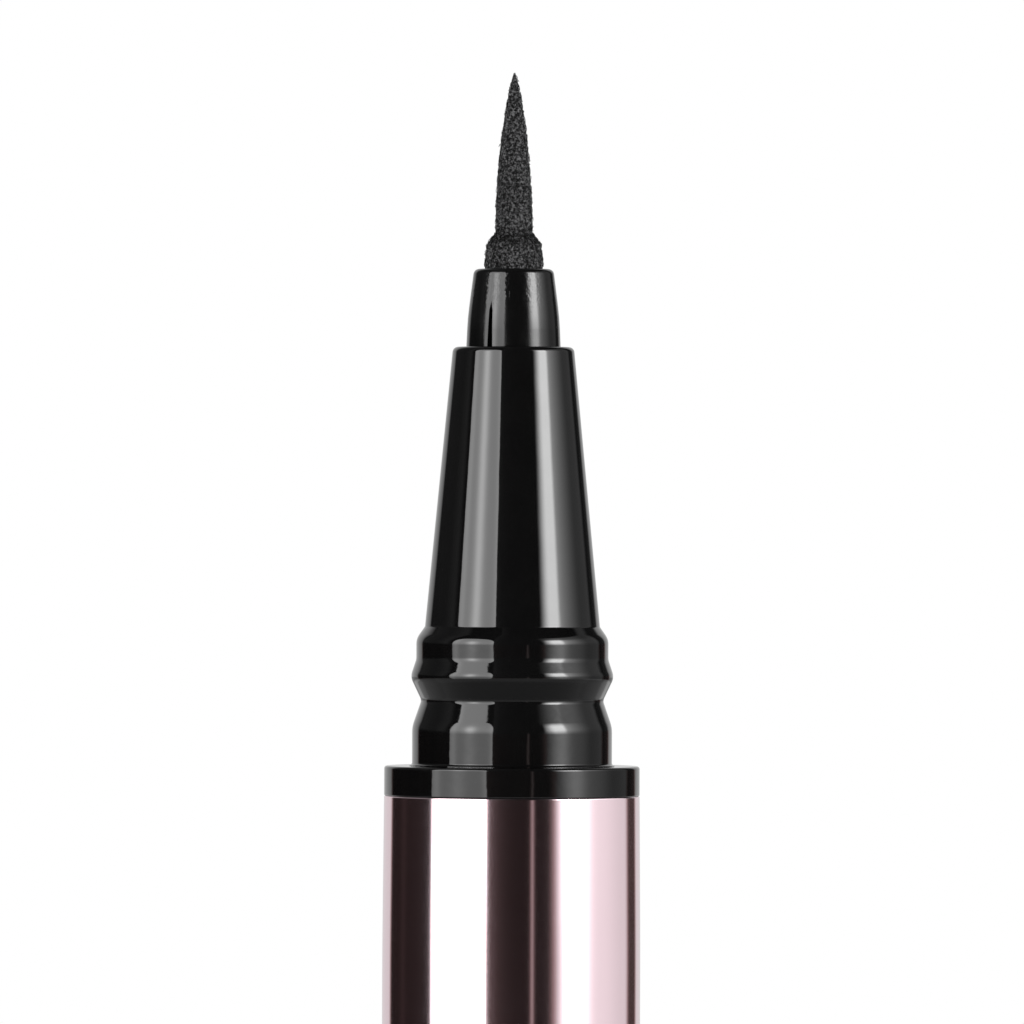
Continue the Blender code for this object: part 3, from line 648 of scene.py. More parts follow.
def grown_mesh(tree, mesh, **values):
    """The plain mesh that a geometry tree makes of a mesh and its named values.

    Objects among the values only serve to make it, and are removed.
    """
    obj = placed(tree.name, mesh)
    modifier = obj.modifiers.new(tree.name, "NODES")
    modifier.node_group = tree
    for item in tree.interface.items_tree:
        key = item.name.replace(" ", "_").lower()
        if item.in_out == "INPUT" and key in values:
            modifier[item.identifier] = values[key]
    graph = bpy.context.evaluated_depsgraph_get()
    grown = bpy.data.meshes.new_from_object(obj.evaluated_get(graph))
    for used in (obj, *values.values()):
        if isinstance(used, bpy.types.Object):
            bpy.data.objects.remove(used)
    return grown


def span(node):
    """A node's greatest radius, its base and its top."""
    low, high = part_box(node)
    return high.x, low.z, high.z


# Sizes taken from the frame

BARREL_RADIUS, _, COLLAR_TOP = span("collar_ring")
_, SLEEVE_BASE, SLEEVE_TOP = span("barrel_sleeve")
TAIL_RING_BASE = span("tail_ring")[1]
TANK_RADIUS = span("ink_tank")[0]
_, SPIGOT_BASE, CONE_TOP = span("front_section")
HOLDER_RADIUS, HOLDER_BASE, HOLDER_TOP = span("nib_holder")
NIB_RADIUS, NIB_BASE, NIB_TIP = span("nib")
RELAY_RADIUS, RELAY_BASE, RELAY_TOP = span("relay_core")
_, COLLECTOR_BASE, COLLECTOR_TOP = span("collector")
_, CUP_BASE, CUP_RIM = span("ball_stop_cup")
_, BALL_BASE, BALL_TOP = span("mixing_ball")
_, PLUG_BASE, PLUG_TOP = span("tail_plug")
CAP_HEIGHT = span("cap_shell")[2]
LINER_RADIUS, LINER_BASE, LINER_TOP = span("cap_liner")
FLANGE_RADIUS, INNER_CAP_BASE, INNER_CAP_TOP = span("inner_cap")
_, SPRING_BASE, SPRING_TOP = span("cap_spring")

TANK_MOUTH = TANK_RADIUS - TANK_WALL
SPIGOT_RADIUS = TANK_MOUTH - SEAT_GAP
SEAL_RADIUS = TANK_MOUTH - SEAL_GAP - SEAL_SECTION / 2
SEAL_SEAT = SEAL_RADIUS - SEAL_SECTION / 2 - SEAL_GAP
FRONT_SEAL_MIDDLE = (SLEEVE_TOP + SPIGOT_BASE) / 2
TAIL_SEAL_MIDDLE = SLEEVE_BASE + PLUG_DEPTH / 2
LINER_BORE = LINER_RADIUS - LINER_WALL
NECK_RADIUS = LINER_BORE - BEAD_HEIGHT - CAP_GAP
BAND_RADIUS = NECK_RADIUS - BAND_INSET
BAND_TOP = COLLAR_TOP + NECK_LENGTH + GROOVE_NEAR_SLOPE + GROOVE_FAR_SLOPE + RIB_SLOPE + BAND_LENGTH
CONE_BASE = BAND_TOP + SHOULDER_LENGTH
LEDGE_TOP = HOLDER_BASE - FACE_GAP
LEDGE_BASE = LEDGE_TOP - HOLDER_SEAT_WALL
NIB_BORE = NIB_RADIUS + SEAT_GAP
RELAY_BORE = RELAY_RADIUS + SEAT_GAP
FEED_BORE = SPIGOT_RADIUS - SPIGOT_WALL
SPRING_SEAT = SPRING_BASE - FACE_GAP
FLANGE_TOP = INNER_CAP_BASE + FLANGE_THICKNESS


# Nose


def nib_points():
    """The nib's outline, with rows close enough on its open part to carry the felt's grain."""
    shoulder_base = HOLDER_TOP + NIB_BASE_LENGTH
    shoulder_top = shoulder_base + NIB_WAIST_LENGTH
    taper_base = shoulder_top + NIB_BEVEL_LENGTH
    points = [Vector((0, NIB_TIP))]
    rows = math.ceil((NIB_TIP - taper_base) / GRAIN_ROW)
    for row in range(rows + 1):
        # Closer rows at the point, where the outline bends most.
        share = (row / rows) ** NIB_CROWDING_POWER
        along = NIB_BLUNT_SHARE + (1 - NIB_BLUNT_SHARE) * share
        bulge = (1 - (1 - along) ** NIB_FULLNESS_POWER) ** NIB_POINT_POWER
        points.append(Vector((NIB_TAPER_RADIUS * bulge, NIB_TIP - (NIB_TIP - taper_base) * share)))
    taper_end = (NIB_TAPER_RADIUS, taper_base)
    waist = (NIB_RADIUS - NIB_WAIST_INSET, shoulder_top, NIB_WAIST_INSET)
    shoulder = (NIB_RADIUS, shoulder_base, NIB_WAIST_INSET)
    rim = (NIB_RADIUS, HOLDER_TOP - SEAT_GAP)
    bends = [Vector(taper_end)]
    bends += rounded_corner(taper_end, waist, shoulder)
    bends += rounded_corner(waist, shoulder, rim)
    bends.append(Vector(rim))
    for start, end in zip(bends, bends[1:]):
        steps = max(1, round((end - start).length / GRAIN_ROW))
        points += [start.lerp(end, step / steps) for step in range(1, steps + 1)]
    socket_top = NIB_BASE + NIB_SOCKET_DEPTH
    rear = [
        (NIB_RADIUS, NIB_BASE + NIB_REAR_CHAMFER),
        (NIB_RADIUS - NIB_REAR_CHAMFER, NIB_BASE),
        (RELAY_BORE, NIB_BASE),
        (RELAY_BORE, socket_top),
        (0, socket_top),
    ]
    return points + [Vector(corner) for corner in rear]


def fibre_shape(length, radius):
    """A short bowed fibre of felt along X, whose ends lie on the surface."""
    half = length / 2
    start = half.node("ShaderNodeCombineXYZ", (half * -1, 0.0, 0.0))
    bow = half.node("ShaderNodeCombineXYZ", (0.0, half * FIBRE_BOW_SHARE, half * FIBRE_LIFT_SHARE))
    end = half.node("ShaderNodeCombineXYZ", (half, 0.0, 0.0))
    sockets = {"Resolution": 3, "Start": start, "Middle": bow, "End": end}
    line = half.node("GeometryNodeCurveQuadraticBezier", sockets)
    section = half.node("GeometryNodeCurvePrimitiveCircle", {"Resolution": 3, "Radius": radius})
    sockets = {"Curve": line, "Profile Curve": section, "Fill Caps": True}
    return line.node("GeometryNodeCurveToMesh", sockets)


def felt_tree():
    """Raises grains on a smooth nib, and scatters short fibres that lie on it at random."""
    sizes = {
        "Open Base": "Float",
        "Open Top": "Float",
        "Grain Size": "Float",
        "Grain Depth": "Float",
        "Fibre Length": "Float",
        "Fibre Radius": "Float",
        "Fibre Spacing": "Float",
        "Seed": "Int",
    }
    tree, given = new_tree("felt", sizes)
    grain_size = given.beside("Grain Size")
    spacing = given.beside("Fibre Spacing")
    place = given.node("GeometryNodeInputPosition")
    flat = place.scaled(1, 1, 0)
    radius = flat.node("ShaderNodeVectorMath", (flat,), output="Value", operation="LENGTH")
    outward = flat.node("ShaderNodeVectorMath", (flat,), operation="NORMALIZE")
    height = place.part("Z")
    open_base = given.beside("Open Base") + grain_size
    open_part = height.rise(given.beside("Open Base"), open_base)
    thick_part = radius.rise(0.0, grain_size * 6)
    grain = place.noise(grain_size, GRAIN_DETAIL, GRAIN_ROUGHNESS)
    reach = (grain * 2 - 1) * given.beside("Grain Depth") * open_part * thick_part
    offset = outward.node("ShaderNodeVectorMath", {0: outward, "Scale": reach}, operation="SCALE")
    body = given.node("GeometryNodeSetPosition", {"Geometry": given, "Offset": offset})
    is_open = height.maths("GREATER_THAN", open_base)
    is_below_tip = height.maths("LESS_THAN", given.beside("Open Top"))
    sockets = {
        "Mesh": body,
        "Selection": is_open * is_below_tip,
        "Density": 1 / (spacing * spacing),
        "Seed": given.beside("Seed"),
    }
    points = body.node("GeometryNodeDistributePointsOnFaces", sockets)
    turn = points.node("ShaderNodeCombineXYZ", {"Z": random_value(points, -math.pi, math.pi, 1)})
    turn = turn.node("FunctionNodeEulerToRotation", (turn,))
    sockets = {"Rotation": points.beside("Rotation"), "Rotate By": turn}
    lie = turn.node("FunctionNodeRotateRotation", sockets, rotation_space="LOCAL")
    tone = random_value(points, *FIBRE_TONE_SHARES, 2)
    sockets = {"Geometry": points, "Name": "fibre", "Value": tone}
    toned = points.node("GeometryNodeStoreNamedAttribute", sockets, data_type="FLOAT", domain="POINT")
    sockets = {
        "Points": toned,
        "Instance": fibre_shape(given.beside("Fibre Length"), given.beside("Fibre Radius")),
        "Rotation": lie,
        "Scale": random_value(points, *FIBRE_SIZE_SHARES, 3),
    }
    fibres = toned.node("GeometryNodeInstanceOnPoints", sockets)
    close_tree(joined(body, fibres), given)
    return tree


def make_nib():
    material = black_felt()
    mesh = grown_mesh(
        felt_tree(),
        turned_mesh("nib", nib_points(), NIB_STEPS),
        open_base=HOLDER_TOP,
        open_top=NIB_TIP - FIBRE_LENGTH,
        grain_size=GRAIN_SIZE,
        grain_depth=GRAIN_DEPTH,
        fibre_length=FIBRE_LENGTH,
        fibre_radius=FIBRE_RADIUS,
        fibre_spacing=FIBRE_SPACING,
        seed=FIBRE_SEED,
        material=material,
    )
    piece("nib", mesh, material, "pen")


def cuts_tree():
    """Cuts a shape out of a piece, as often as told, at even angles round the axis."""
    sizes = {"Cutter": "Object", "Count": "Int", "First Angle": "Float"}
    tree, given = new_tree("cuts_round_the_axis", sizes)
    count = given.beside("Count")
    shape = given.node("GeometryNodeObjectInfo", {"Object": given.beside("Cutter")}, "Geometry")
    spots = given.node("GeometryNodeMeshLine", {"Count": count, "Offset": (0.0, 0.0, 0.0)})
    angle = spots.node("GeometryNodeInputIndex") * math.tau / count + given.beside("First Angle")
    turn = angle.node("ShaderNodeCombineXYZ", {"Z": angle})
    turn = turn.node("FunctionNodeEulerToRotation", (turn,))
    sockets = {"Points": spots, "Instance": shape, "Rotation": turn}
    cutters = spots.node("GeometryNodeInstanceOnPoints", sockets)
    sockets = {"Mesh 1": given, "Mesh 2": cutters}
    cut = given.node("GeometryNodeMeshBoolean", sockets, operation="DIFFERENCE", solver="EXACT")
    close_tree(cut, given)
    return tree


def vent_cutter():
    """A square spike with a blunt point, flattened across, for a groove that starts at a point."""
    start_height = HOLDER_TOP - VENT_START
    top_radius = NIB_BORE + HOLDER_LIP
    taper_radius = HOLDER_RADIUS - HOLDER_FLARE
    start_radius = top_radius + (taper_radius - top_radius) * VENT_START / HOLDER_TAPER_LENGTH
    side = math.sqrt(2)
    blunt = Vector((VENT_POINT_SHARE * side, VENT_LENGTH - VENT_POINT_LENGTH))
    points = [Vector((0, VENT_LENGTH)), blunt, Vector((side, 0)), Vector((0, 0))]
    mesh = turned_mesh("vent_cutter", points, 4)
    mesh.transform(Matrix.Rotation(math.radians(45), 4, "Z"))
    mesh.transform(Matrix.Diagonal((VENT_DEPTH, VENT_WIDTH / 2, 1, 1)))
    lean = math.atan((start_radius - HOLDER_RADIUS) / VENT_LENGTH)
    mesh.transform(Matrix.Rotation(lean, 4, "Y"))
    mesh.transform(Matrix.Translation((HOLDER_RADIUS, 0, start_height - VENT_LENGTH)))
    return placed("vent_cutter", mesh)


def make_nib_holder(cuts):
    nib_ledge = NIB_BASE - FACE_GAP
    corners = [
        (NIB_BORE + HOLDER_LIP, HOLDER_TOP, HOLDER_EDGE),
        (HOLDER_RADIUS - HOLDER_FLARE, HOLDER_TOP - HOLDER_TAPER_LENGTH, HOLDER_FLARE_ROUND),
        (HOLDER_RADIUS, CONE_TOP),
        (HOLDER_RADIUS, HOLDER_BASE, HOLDER_EDGE),
        (RELAY_BORE, HOLDER_BASE),
        (RELAY_BORE, nib_ledge),
        (NIB_BORE, nib_ledge),
        (NIB_BORE, HOLDER_TOP),
    ]
    waves = 0.008 * MM
    material = gloss_black_plastic("scuffed_black_plastic", gloss=0.42, haze=0.2, waves=waves, scuffs=1.3)
    mesh = grown_mesh(
        cuts,
        turned_mesh("nib_holder", outline(corners), ROUND_STEPS),
        cutter=vent_cutter(),
        count=VENT_COUNT,
        first_angle=VENT_FIRST_ANGLE,
        material=material,
    )
    piece("nib_holder", mesh, material, "pen")


def make_front_section(material):
    foot_base = COLLAR_TOP + SEAM_GAP
    foot_top = foot_base + FOOT_EDGE
    corners = [
        (HOLDER_RADIUS + CONE_LIP, CONE_TOP, CONE_EDGE),
        (NECK_RADIUS - CONE_INSET, CONE_BASE, CONE_FOOT_ROUND),
        (BAND_RADIUS, BAND_TOP, SHOULDER_ROUND),
        *reversed(snap_corners(COLLAR_TOP, 1)),
        (NECK_RADIUS, foot_top, FOOT_ROUND),
        (NECK_RADIUS + FOOT_WIDTH, foot_top),
        (NECK_RADIUS + FOOT_WIDTH, foot_base),
        (SPIGOT_RADIUS, foot_base),
        *seal_groove(FRONT_SEAL_MIDDLE),
        (SPIGOT_RADIUS, SPIGOT_BASE, SPIGOT_LEAD),
        (FEED_BORE, SPIGOT_BASE),
        (FEED_BORE, LEDGE_BASE),
        (RELAY_RADIUS + LEDGE_CLEARANCE, LEDGE_BASE),
        (RELAY_RADIUS + LEDGE_CLEARANCE, LEDGE_TOP),
        (HOLDER_RADIUS + SEAT_GAP, LEDGE_TOP),
        (HOLDER_RADIUS + SEAT_GAP, CONE_TOP),
    ]
    turned_piece("front_section", corners, material, "pen")


# Ink feed


def comb_tree():
    """Stands a row of fins on a tube, joins them, and cuts a slot along them all."""
    sizes = {"Fin": "Object", "Slot": "Object", "Count": "Int", "Pitch": "Float"}
    tree, given = new_tree("comb", sizes)
    fin = given.node("GeometryNodeObjectInfo", {"Object": given.beside("Fin")}, "Geometry")
    slot = given.node("GeometryNodeObjectInfo", {"Object": given.beside("Slot")}, "Geometry")
    drop = given.node("ShaderNodeCombineXYZ", {"Z": given.beside("Pitch") * -1})
    row = drop.node("GeometryNodeMeshLine", {"Count": given.beside("Count"), "Offset": drop})
    fins = row.node("GeometryNodeInstanceOnPoints", {"Points": row, "Instance": fin})
    parts = {"Mesh 2": joined(given, fins)}
    whole = fins.node("GeometryNodeMeshBoolean", parts, operation="UNION", solver="EXACT")
    parts = {"Mesh 1": whole, "Mesh 2": slot}
    cut = whole.node("GeometryNodeMeshBoolean", parts, operation="DIFFERENCE", solver="EXACT")
    close_tree(cut, given)
    return tree


def make_collector(material):
    flange_top = SPIGOT_BASE - FACE_GAP
    tube_radius = RELAY_BORE + COLLECTOR_TUBE_WALL
    fin_radius = FEED_BORE - FIN_GAP
    pitch = (COLLECTOR_TOP - SPIGOT_BASE) / FIN_COUNT
    fin_base = COLLECTOR_TOP - pitch * FIN_THICKNESS_SHARE
    fin_inside = tube_radius - COLLECTOR_SLOT_BITE
    tube = [
        (tube_radius, COLLECTOR_TOP - SUPPORT),
        (tube_radius, flange_top),
        (SPIGOT_RADIUS, flange_top, FIN_EDGE),
        (SPIGOT_RADIUS, COLLECTOR_BASE, FIN_EDGE),
        (RELAY_BORE, COLLECTOR_BASE),
        (RELAY_BORE, COLLECTOR_TOP - SUPPORT),
    ]
    fin = [
        (fin_radius, COLLECTOR_TOP, FIN_EDGE),
        (fin_radius, fin_base, FIN_EDGE),
        (fin_inside, fin_base),
        (fin_inside, COLLECTOR_TOP),
    ]
    depth = SPIGOT_RADIUS - fin_inside + CUT_OVERRUN
    height = COLLECTOR_TOP - COLLECTOR_BASE + 2 * CUT_OVERRUN
    slot = bpy.data.meshes.new("slot_cutter")
    shape = bmesh.new()
    bmesh.ops.create_cube(shape, size=1)
    shape.to_mesh(slot)
    shape.free()
    slot.transform(Matrix.Diagonal((depth, COLLECTOR_SLOT_WIDTH, height, 1)))
    middle = (fin_inside + depth / 2, 0, (COLLECTOR_TOP + COLLECTOR_BASE) / 2)
    slot.transform(Matrix.Translation(middle))
    mesh = grown_mesh(
        comb_tree(),
        turned_mesh("collector", outline(tube), INNER_STEPS),
        fin=placed("fin", turned_mesh("fin", outline(fin), INNER_STEPS)),
        slot=placed("slot_cutter", slot),
        count=FIN_COUNT,
        pitch=pitch,
        material=material,
    )
    piece("collector", mesh, material, "pen")


def make_relay_core():
    tip_radius = RELAY_RADIUS - RELAY_POINT
    corners = [
        (0, RELAY_TOP),
        (tip_radius, RELAY_TOP, CORE_EDGE),
        (RELAY_RADIUS, RELAY_TOP - RELAY_POINT, CORE_EDGE),
        (RELAY_RADIUS, RELAY_BASE + RELAY_POINT, CORE_EDGE),
        (tip_radius, RELAY_BASE, CORE_EDGE),
        (0, RELAY_BASE),
    ]
    turned_piece("relay_core", corners, inked_fibre(), "pen", INNER_STEPS)


def make_ball_stop_cup(material, cuts):
    floor = CUP_BASE + CUP_FLOOR
    bore = SPIGOT_RADIUS - CUP_WALL
    corners = [
        (SPIGOT_RADIUS, CUP_RIM, CUP_EDGE),
        (SPIGOT_RADIUS, CUP_BASE, CUP_EDGE),
        (CUP_CENTRE_HOLE_RADIUS, CUP_BASE, CUP_EDGE),
        (CUP_CENTRE_HOLE_RADIUS, floor, CUP_EDGE),
        (bore, floor, CUP_EDGE),
        (bore, CUP_RIM, CUP_EDGE),
    ]
    hole = [
        Vector((0, floor + CUT_OVERRUN)),
        Vector((CUP_HOLE_RADIUS, floor + CUT_OVERRUN)),
        Vector((CUP_HOLE_RADIUS, CUP_BASE - CUT_OVERRUN)),
        Vector((0, CUP_BASE - CUT_OVERRUN)),
    ]
    drill = turned_mesh("hole_cutter", hole, HOLE_STEPS)
    drill.transform(Matrix.Translation((CUP_HOLE_CIRCLE_RADIUS, 0, 0)))
    mesh = grown_mesh(
        cuts,
        turned_mesh("ball_stop_cup", outline(corners), INNER_STEPS),
        cutter=placed("hole_cutter", drill),
        count=CUP_HOLE_COUNT,
        first_angle=0.0,
        material=material,
    )
    piece("ball_stop_cup", mesh, material, "pen")


def make_mixing_ball(material):
    radius = (BALL_TOP - BALL_BASE) / 2
    points = []
    for step in range(BALL_ROWS + 1):
        angle = math.pi * step / BALL_ROWS
        across = radius * math.sin(angle) if 0 < step < BALL_ROWS else 0
        points.append(Vector((across, BALL_BASE + radius + radius * math.cos(angle))))
    mesh = turned_mesh("mixing_ball", points, INNER_STEPS)
    piece("mixing_ball", mesh, material, "mixing_ball")


def make_seal_ring(node, middle, material):
    points = []
    for step in range(SEAL_SECTION_STEPS):
        angle = math.tau * step / SEAL_SECTION_STEPS
        across = SEAL_RADIUS + SEAL_SECTION / 2 * math.sin(angle)
        points.append(Vector((across, middle + SEAL_SECTION / 2 * math.cos(angle))))
    piece(node, turned_mesh(node, points, INNER_STEPS), material, "pen")


# Barrel


def make_ink_tank():
    tank_bore = TANK_MOUTH - TANK_LEDGE
    rear_ledge = PLUG_TOP + FACE_GAP
    front_ledge = CUP_BASE - FACE_GAP
    corners = [
        (TANK_RADIUS, SLEEVE_TOP),
        (TANK_RADIUS, SLEEVE_BASE),
        (TANK_MOUTH, SLEEVE_BASE),
        (TANK_MOUTH, rear_ledge),
        (tank_bore, rear_ledge),
        (tank_bore, front_ledge),
        (TANK_MOUTH, front_ledge),
        (TANK_MOUTH, SLEEVE_TOP),
    ]
    turned_piece("ink_tank", corners, tank_plastic(), "pen", INNER_STEPS)


def make_barrel_sleeve(material):
    bore = BARREL_RADIUS - SLEEVE_WALL
    middle_radius = BARREL_RADIUS + SLEEVE_SWELL
    corners = [
        (BARREL_RADIUS, SLEEVE_TOP, SLEEVE_EDGE),
        (middle_radius, SLEEVE_TOP - SWELL_LENGTH, SWELL_ROUND),
        (middle_radius, SLEEVE_BASE + SWELL_LENGTH, SWELL_ROUND),
        (BARREL_RADIUS, SLEEVE_BASE, SLEEVE_EDGE),
        (bore, SLEEVE_BASE),
        (bore, SLEEVE_TOP),
    ]
    turned_piece("barrel_sleeve", corners, material, "pen")


def make_trim_ring(node, base, top, upper_edge, lower_edge, material):
    corners = [
        (BARREL_RADIUS, top, upper_edge),
        (BARREL_RADIUS, base, lower_edge),
        (TANK_MOUTH, base),
        (TANK_MOUTH, top),
    ]
    turned_piece(node, corners, material, "pen")


def make_tail_plug(material):
    shoulder = TAIL_RING_BASE - SEAM_GAP
    core_radius = BAND_RADIUS - PLUG_CORE_WALL
    corners = [
        (0, PLUG_TOP - DISH_DEPTH),
        (DISH_RADIUS, PLUG_TOP),
        (SPIGOT_RADIUS, PLUG_TOP, SPIGOT_LEAD),
        *seal_groove(TAIL_SEAL_MIDDLE),
        (SPIGOT_RADIUS, shoulder),
        (NECK_RADIUS, shoulder),
        *snap_corners(TAIL_RING_BASE, -1),
        (BAND_RADIUS, PLUG_BASE, PLUG_END_ROUND),
        (core_radius, PLUG_BASE),
        (core_radius, PLUG_BASE + PLUG_CORE_DEPTH),
        (0, PLUG_BASE + PLUG_CORE_DEPTH),
    ]
    turned_piece("tail_plug", corners, material, "pen")


# Cap


def make_cap_shell(material):
    corners = [
        (0, SHELL_END_WALL),
        (BARREL_RADIUS - SHELL_WALL, SHELL_END_WALL),
        (BARREL_RADIUS - SHELL_WALL, CAP_HEIGHT),
        (BARREL_RADIUS, CAP_HEIGHT, SHELL_RIM),
        (BARREL_RADIUS, 0, SHELL_CORNER),
        (0, 0),
    ]
    turned_piece("cap_shell", corners, material, "cap")


def make_cap_liner(material):
    boss_radius = SPRING_RADIUS - WIRE_RADIUS - COIL_GAP
    boss_top = SPRING_SEAT + BOSS_HEIGHT
    chamber_radius = FLANGE_RADIUS + SLIDE_GAP
    ledge_radius = FLANGE_RADIUS - LEDGE_UNDERCUT
    ledge_base = FLANGE_TOP + FACE_GAP
    ledge_top = ledge_base + LEDGE_THICKNESS
    bead_middle = CAP_HEIGHT - NECK_LENGTH - GROOVE_NEAR_SLOPE
    corners = [
        (0, boss_top),
        (boss_radius, boss_top),
        (boss_radius, SPRING_SEAT),
        (chamber_radius, SPRING_SEAT),
        (chamber_radius, ledge_base),
        (ledge_radius, ledge_base),
        (ledge_radius, ledge_top),
        (LINER_BORE, ledge_top + LEDGE_THICKNESS),
        (LINER_BORE, bead_middle - BEAD_SPREAD),
        (LINER_BORE - BEAD_HEIGHT, bead_middle, BEAD_ROUND),
        (LINER_BORE, bead_middle + BEAD_SPREAD),
        (LINER_BORE, LINER_TOP - LINER_MOUTH_CHAMFER),
        (LINER_BORE + LINER_MOUTH_CHAMFER, LINER_TOP),
        (LINER_RADIUS, LINER_TOP),
        (LINER_RADIUS, LINER_BASE, SHELL_RIM),
        (0, LINER_BASE),
    ]
    turned_piece("cap_liner", corners, material, "cap")


def make_inner_cap(material):
    radius = FLANGE_RADIUS - FLANGE_WIDTH
    bore = radius - INNER_CAP_WALL
    floor = INNER_CAP_BASE + INNER_CAP_FLOOR
    corners = [
        (0, floor),
        (bore, floor, CUP_EDGE),
        (bore, INNER_CAP_TOP - INNER_CAP_LIP_CHAMFER),
        (bore + INNER_CAP_LIP_CHAMFER, INNER_CAP_TOP),
        (radius, INNER_CAP_TOP, CUP_EDGE),
        (radius, FLANGE_TOP, CUP_EDGE),
        (FLANGE_RADIUS, FLANGE_TOP, CUP_EDGE),
        (FLANGE_RADIUS, INNER_CAP_BASE, CUP_EDGE),
        (0, INNER_CAP_BASE),
    ]
    turned_piece("inner_cap", corners, material, "inner_cap", INNER_STEPS)


def coil_tree():
    """A wire wound in a helix, with a closed turn at each end and open turns between."""
    sizes = {
        "Base": "Float",
        "Radius": "Float",
        "Wire Radius": "Float",
        "Turns": "Float",
        "Closed Rise": "Float",
        "Open Rise": "Float",
        "Steps": "Int",
        "Wire Steps": "Int",
    }
    tree, given = new_tree("coil", sizes)
    line = given.node("GeometryNodeCurvePrimitiveLine")
    route = line.node("GeometryNodeResampleCurve", {"Curve": line, "Count": given.beside("Steps")})
    turn = route.node("GeometryNodeSplineParameter") * given.beside("Turns")
    opened = (turn - 1).most(0).least(given.beside("Turns") - 2)
    closed = turn - opened
    middle = given.beside("Base") + given.beside("Wire Radius")
    height = middle + closed * given.beside("Closed Rise") + opened * given.beside("Open Rise")
    angle = turn * math.tau
    x = given.beside("Radius") * angle.maths("COSINE")
    y = given.beside("Radius") * angle.maths("SINE")
    place = x.node("ShaderNodeCombineXYZ", (x, y, height))
    wound = route.node("GeometryNodeSetPosition", {"Geometry": route, "Position": place})
    sockets = {"Resolution": given.beside("Wire Steps"), "Radius": given.beside("Wire Radius")}
    section = given.node("GeometryNodeCurvePrimitiveCircle", sockets)
    sockets = {"Curve": wound, "Profile Curve": section, "Fill Caps": True}
    wire = wound.node("GeometryNodeCurveToMesh", sockets)
    close_tree(wire, given)
    return tree


def make_cap_spring(material):
    closed_rise = 2 * WIRE_RADIUS + CLOSED_TURN_GAP
    open_length = SPRING_TOP - SPRING_BASE - 2 * WIRE_RADIUS - 2 * closed_rise
    mesh = grown_mesh(
        coil_tree(),
        bpy.data.meshes.new("cap_spring"),
        base=SPRING_BASE,
        radius=SPRING_RADIUS,
        wire_radius=WIRE_RADIUS,
        turns=float(SPRING_TURNS),
        closed_rise=closed_rise,
        open_rise=open_length / (SPRING_TURNS - 2),
        steps=COIL_STEPS,
        wire_steps=WIRE_STEPS,
        material=material,
    )
    spring = piece("cap_spring", mesh, material, "cap")
    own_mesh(spring)


# Stage, light and camera


def seen_by_camera(flow):
    """1 for what the camera sees, also through something clear, and 0 for light and mirror images."""
    rays = flow.node("ShaderNodeLightPath", output="Is Camera Ray")
    return rays.most(rays.beside("Is Transmission Ray"))


def make_floor():
    """A pale disc that keeps the pen's shadow and fades to plain white with distance."""
    material = bpy.data.materials.new("pale_floor")
    material.use_nodes = True
    tree = material.node_tree
    tree.nodes.remove(tree.nodes["Principled BSDF"])
    place = Flow(tree).node("ShaderNodeTexCoord", output="Object")
    flat = place.scaled(1, 1, 0)
    distance = flat.node("ShaderNodeVectorMath", (flat,), output="Value", operation="LENGTH")
    pale = place.noise(8 * MM).blend((0.78, 0.78, 0.78), (0.82, 0.82, 0.82))
    matt = pale.node("ShaderNodeBsdfDiffuse", {"Color": pale})
    white = pale.node("ShaderNodeEmission", {"Strength": 1.0})
    seen = seen_by_camera(pale)
    mirrored = pale.node("ShaderNodeLightPath", output="Is Glossy Ray")
    far = distance.rise(FLOOR_FADE_START, FLOOR_FADE_END)
    mirrored_far = distance.rise(MIRRORED_FADE_START, MIRRORED_FADE_END)
    share = (FLOOR_LIFT_SHARE + (1 - FLOOR_LIFT_SHARE) * far) * seen + mirrored_far * mirrored
    show(share.node("ShaderNodeMixShader", (share, matt, white)))
    mesh = bpy.data.meshes.new("floor")
    shape = bmesh.new()
    bmesh.ops.create_circle(shape, cap_ends=True, segments=INNER_STEPS, radius=FLOOR_RADIUS)
    bmesh.ops.translate(shape, vec=(0, 0, -FLOOR_DROP), verts=shape.verts)
    shape.to_mesh(mesh)
    shape.free()
    mesh.materials.append(material)
    placed("floor", mesh)


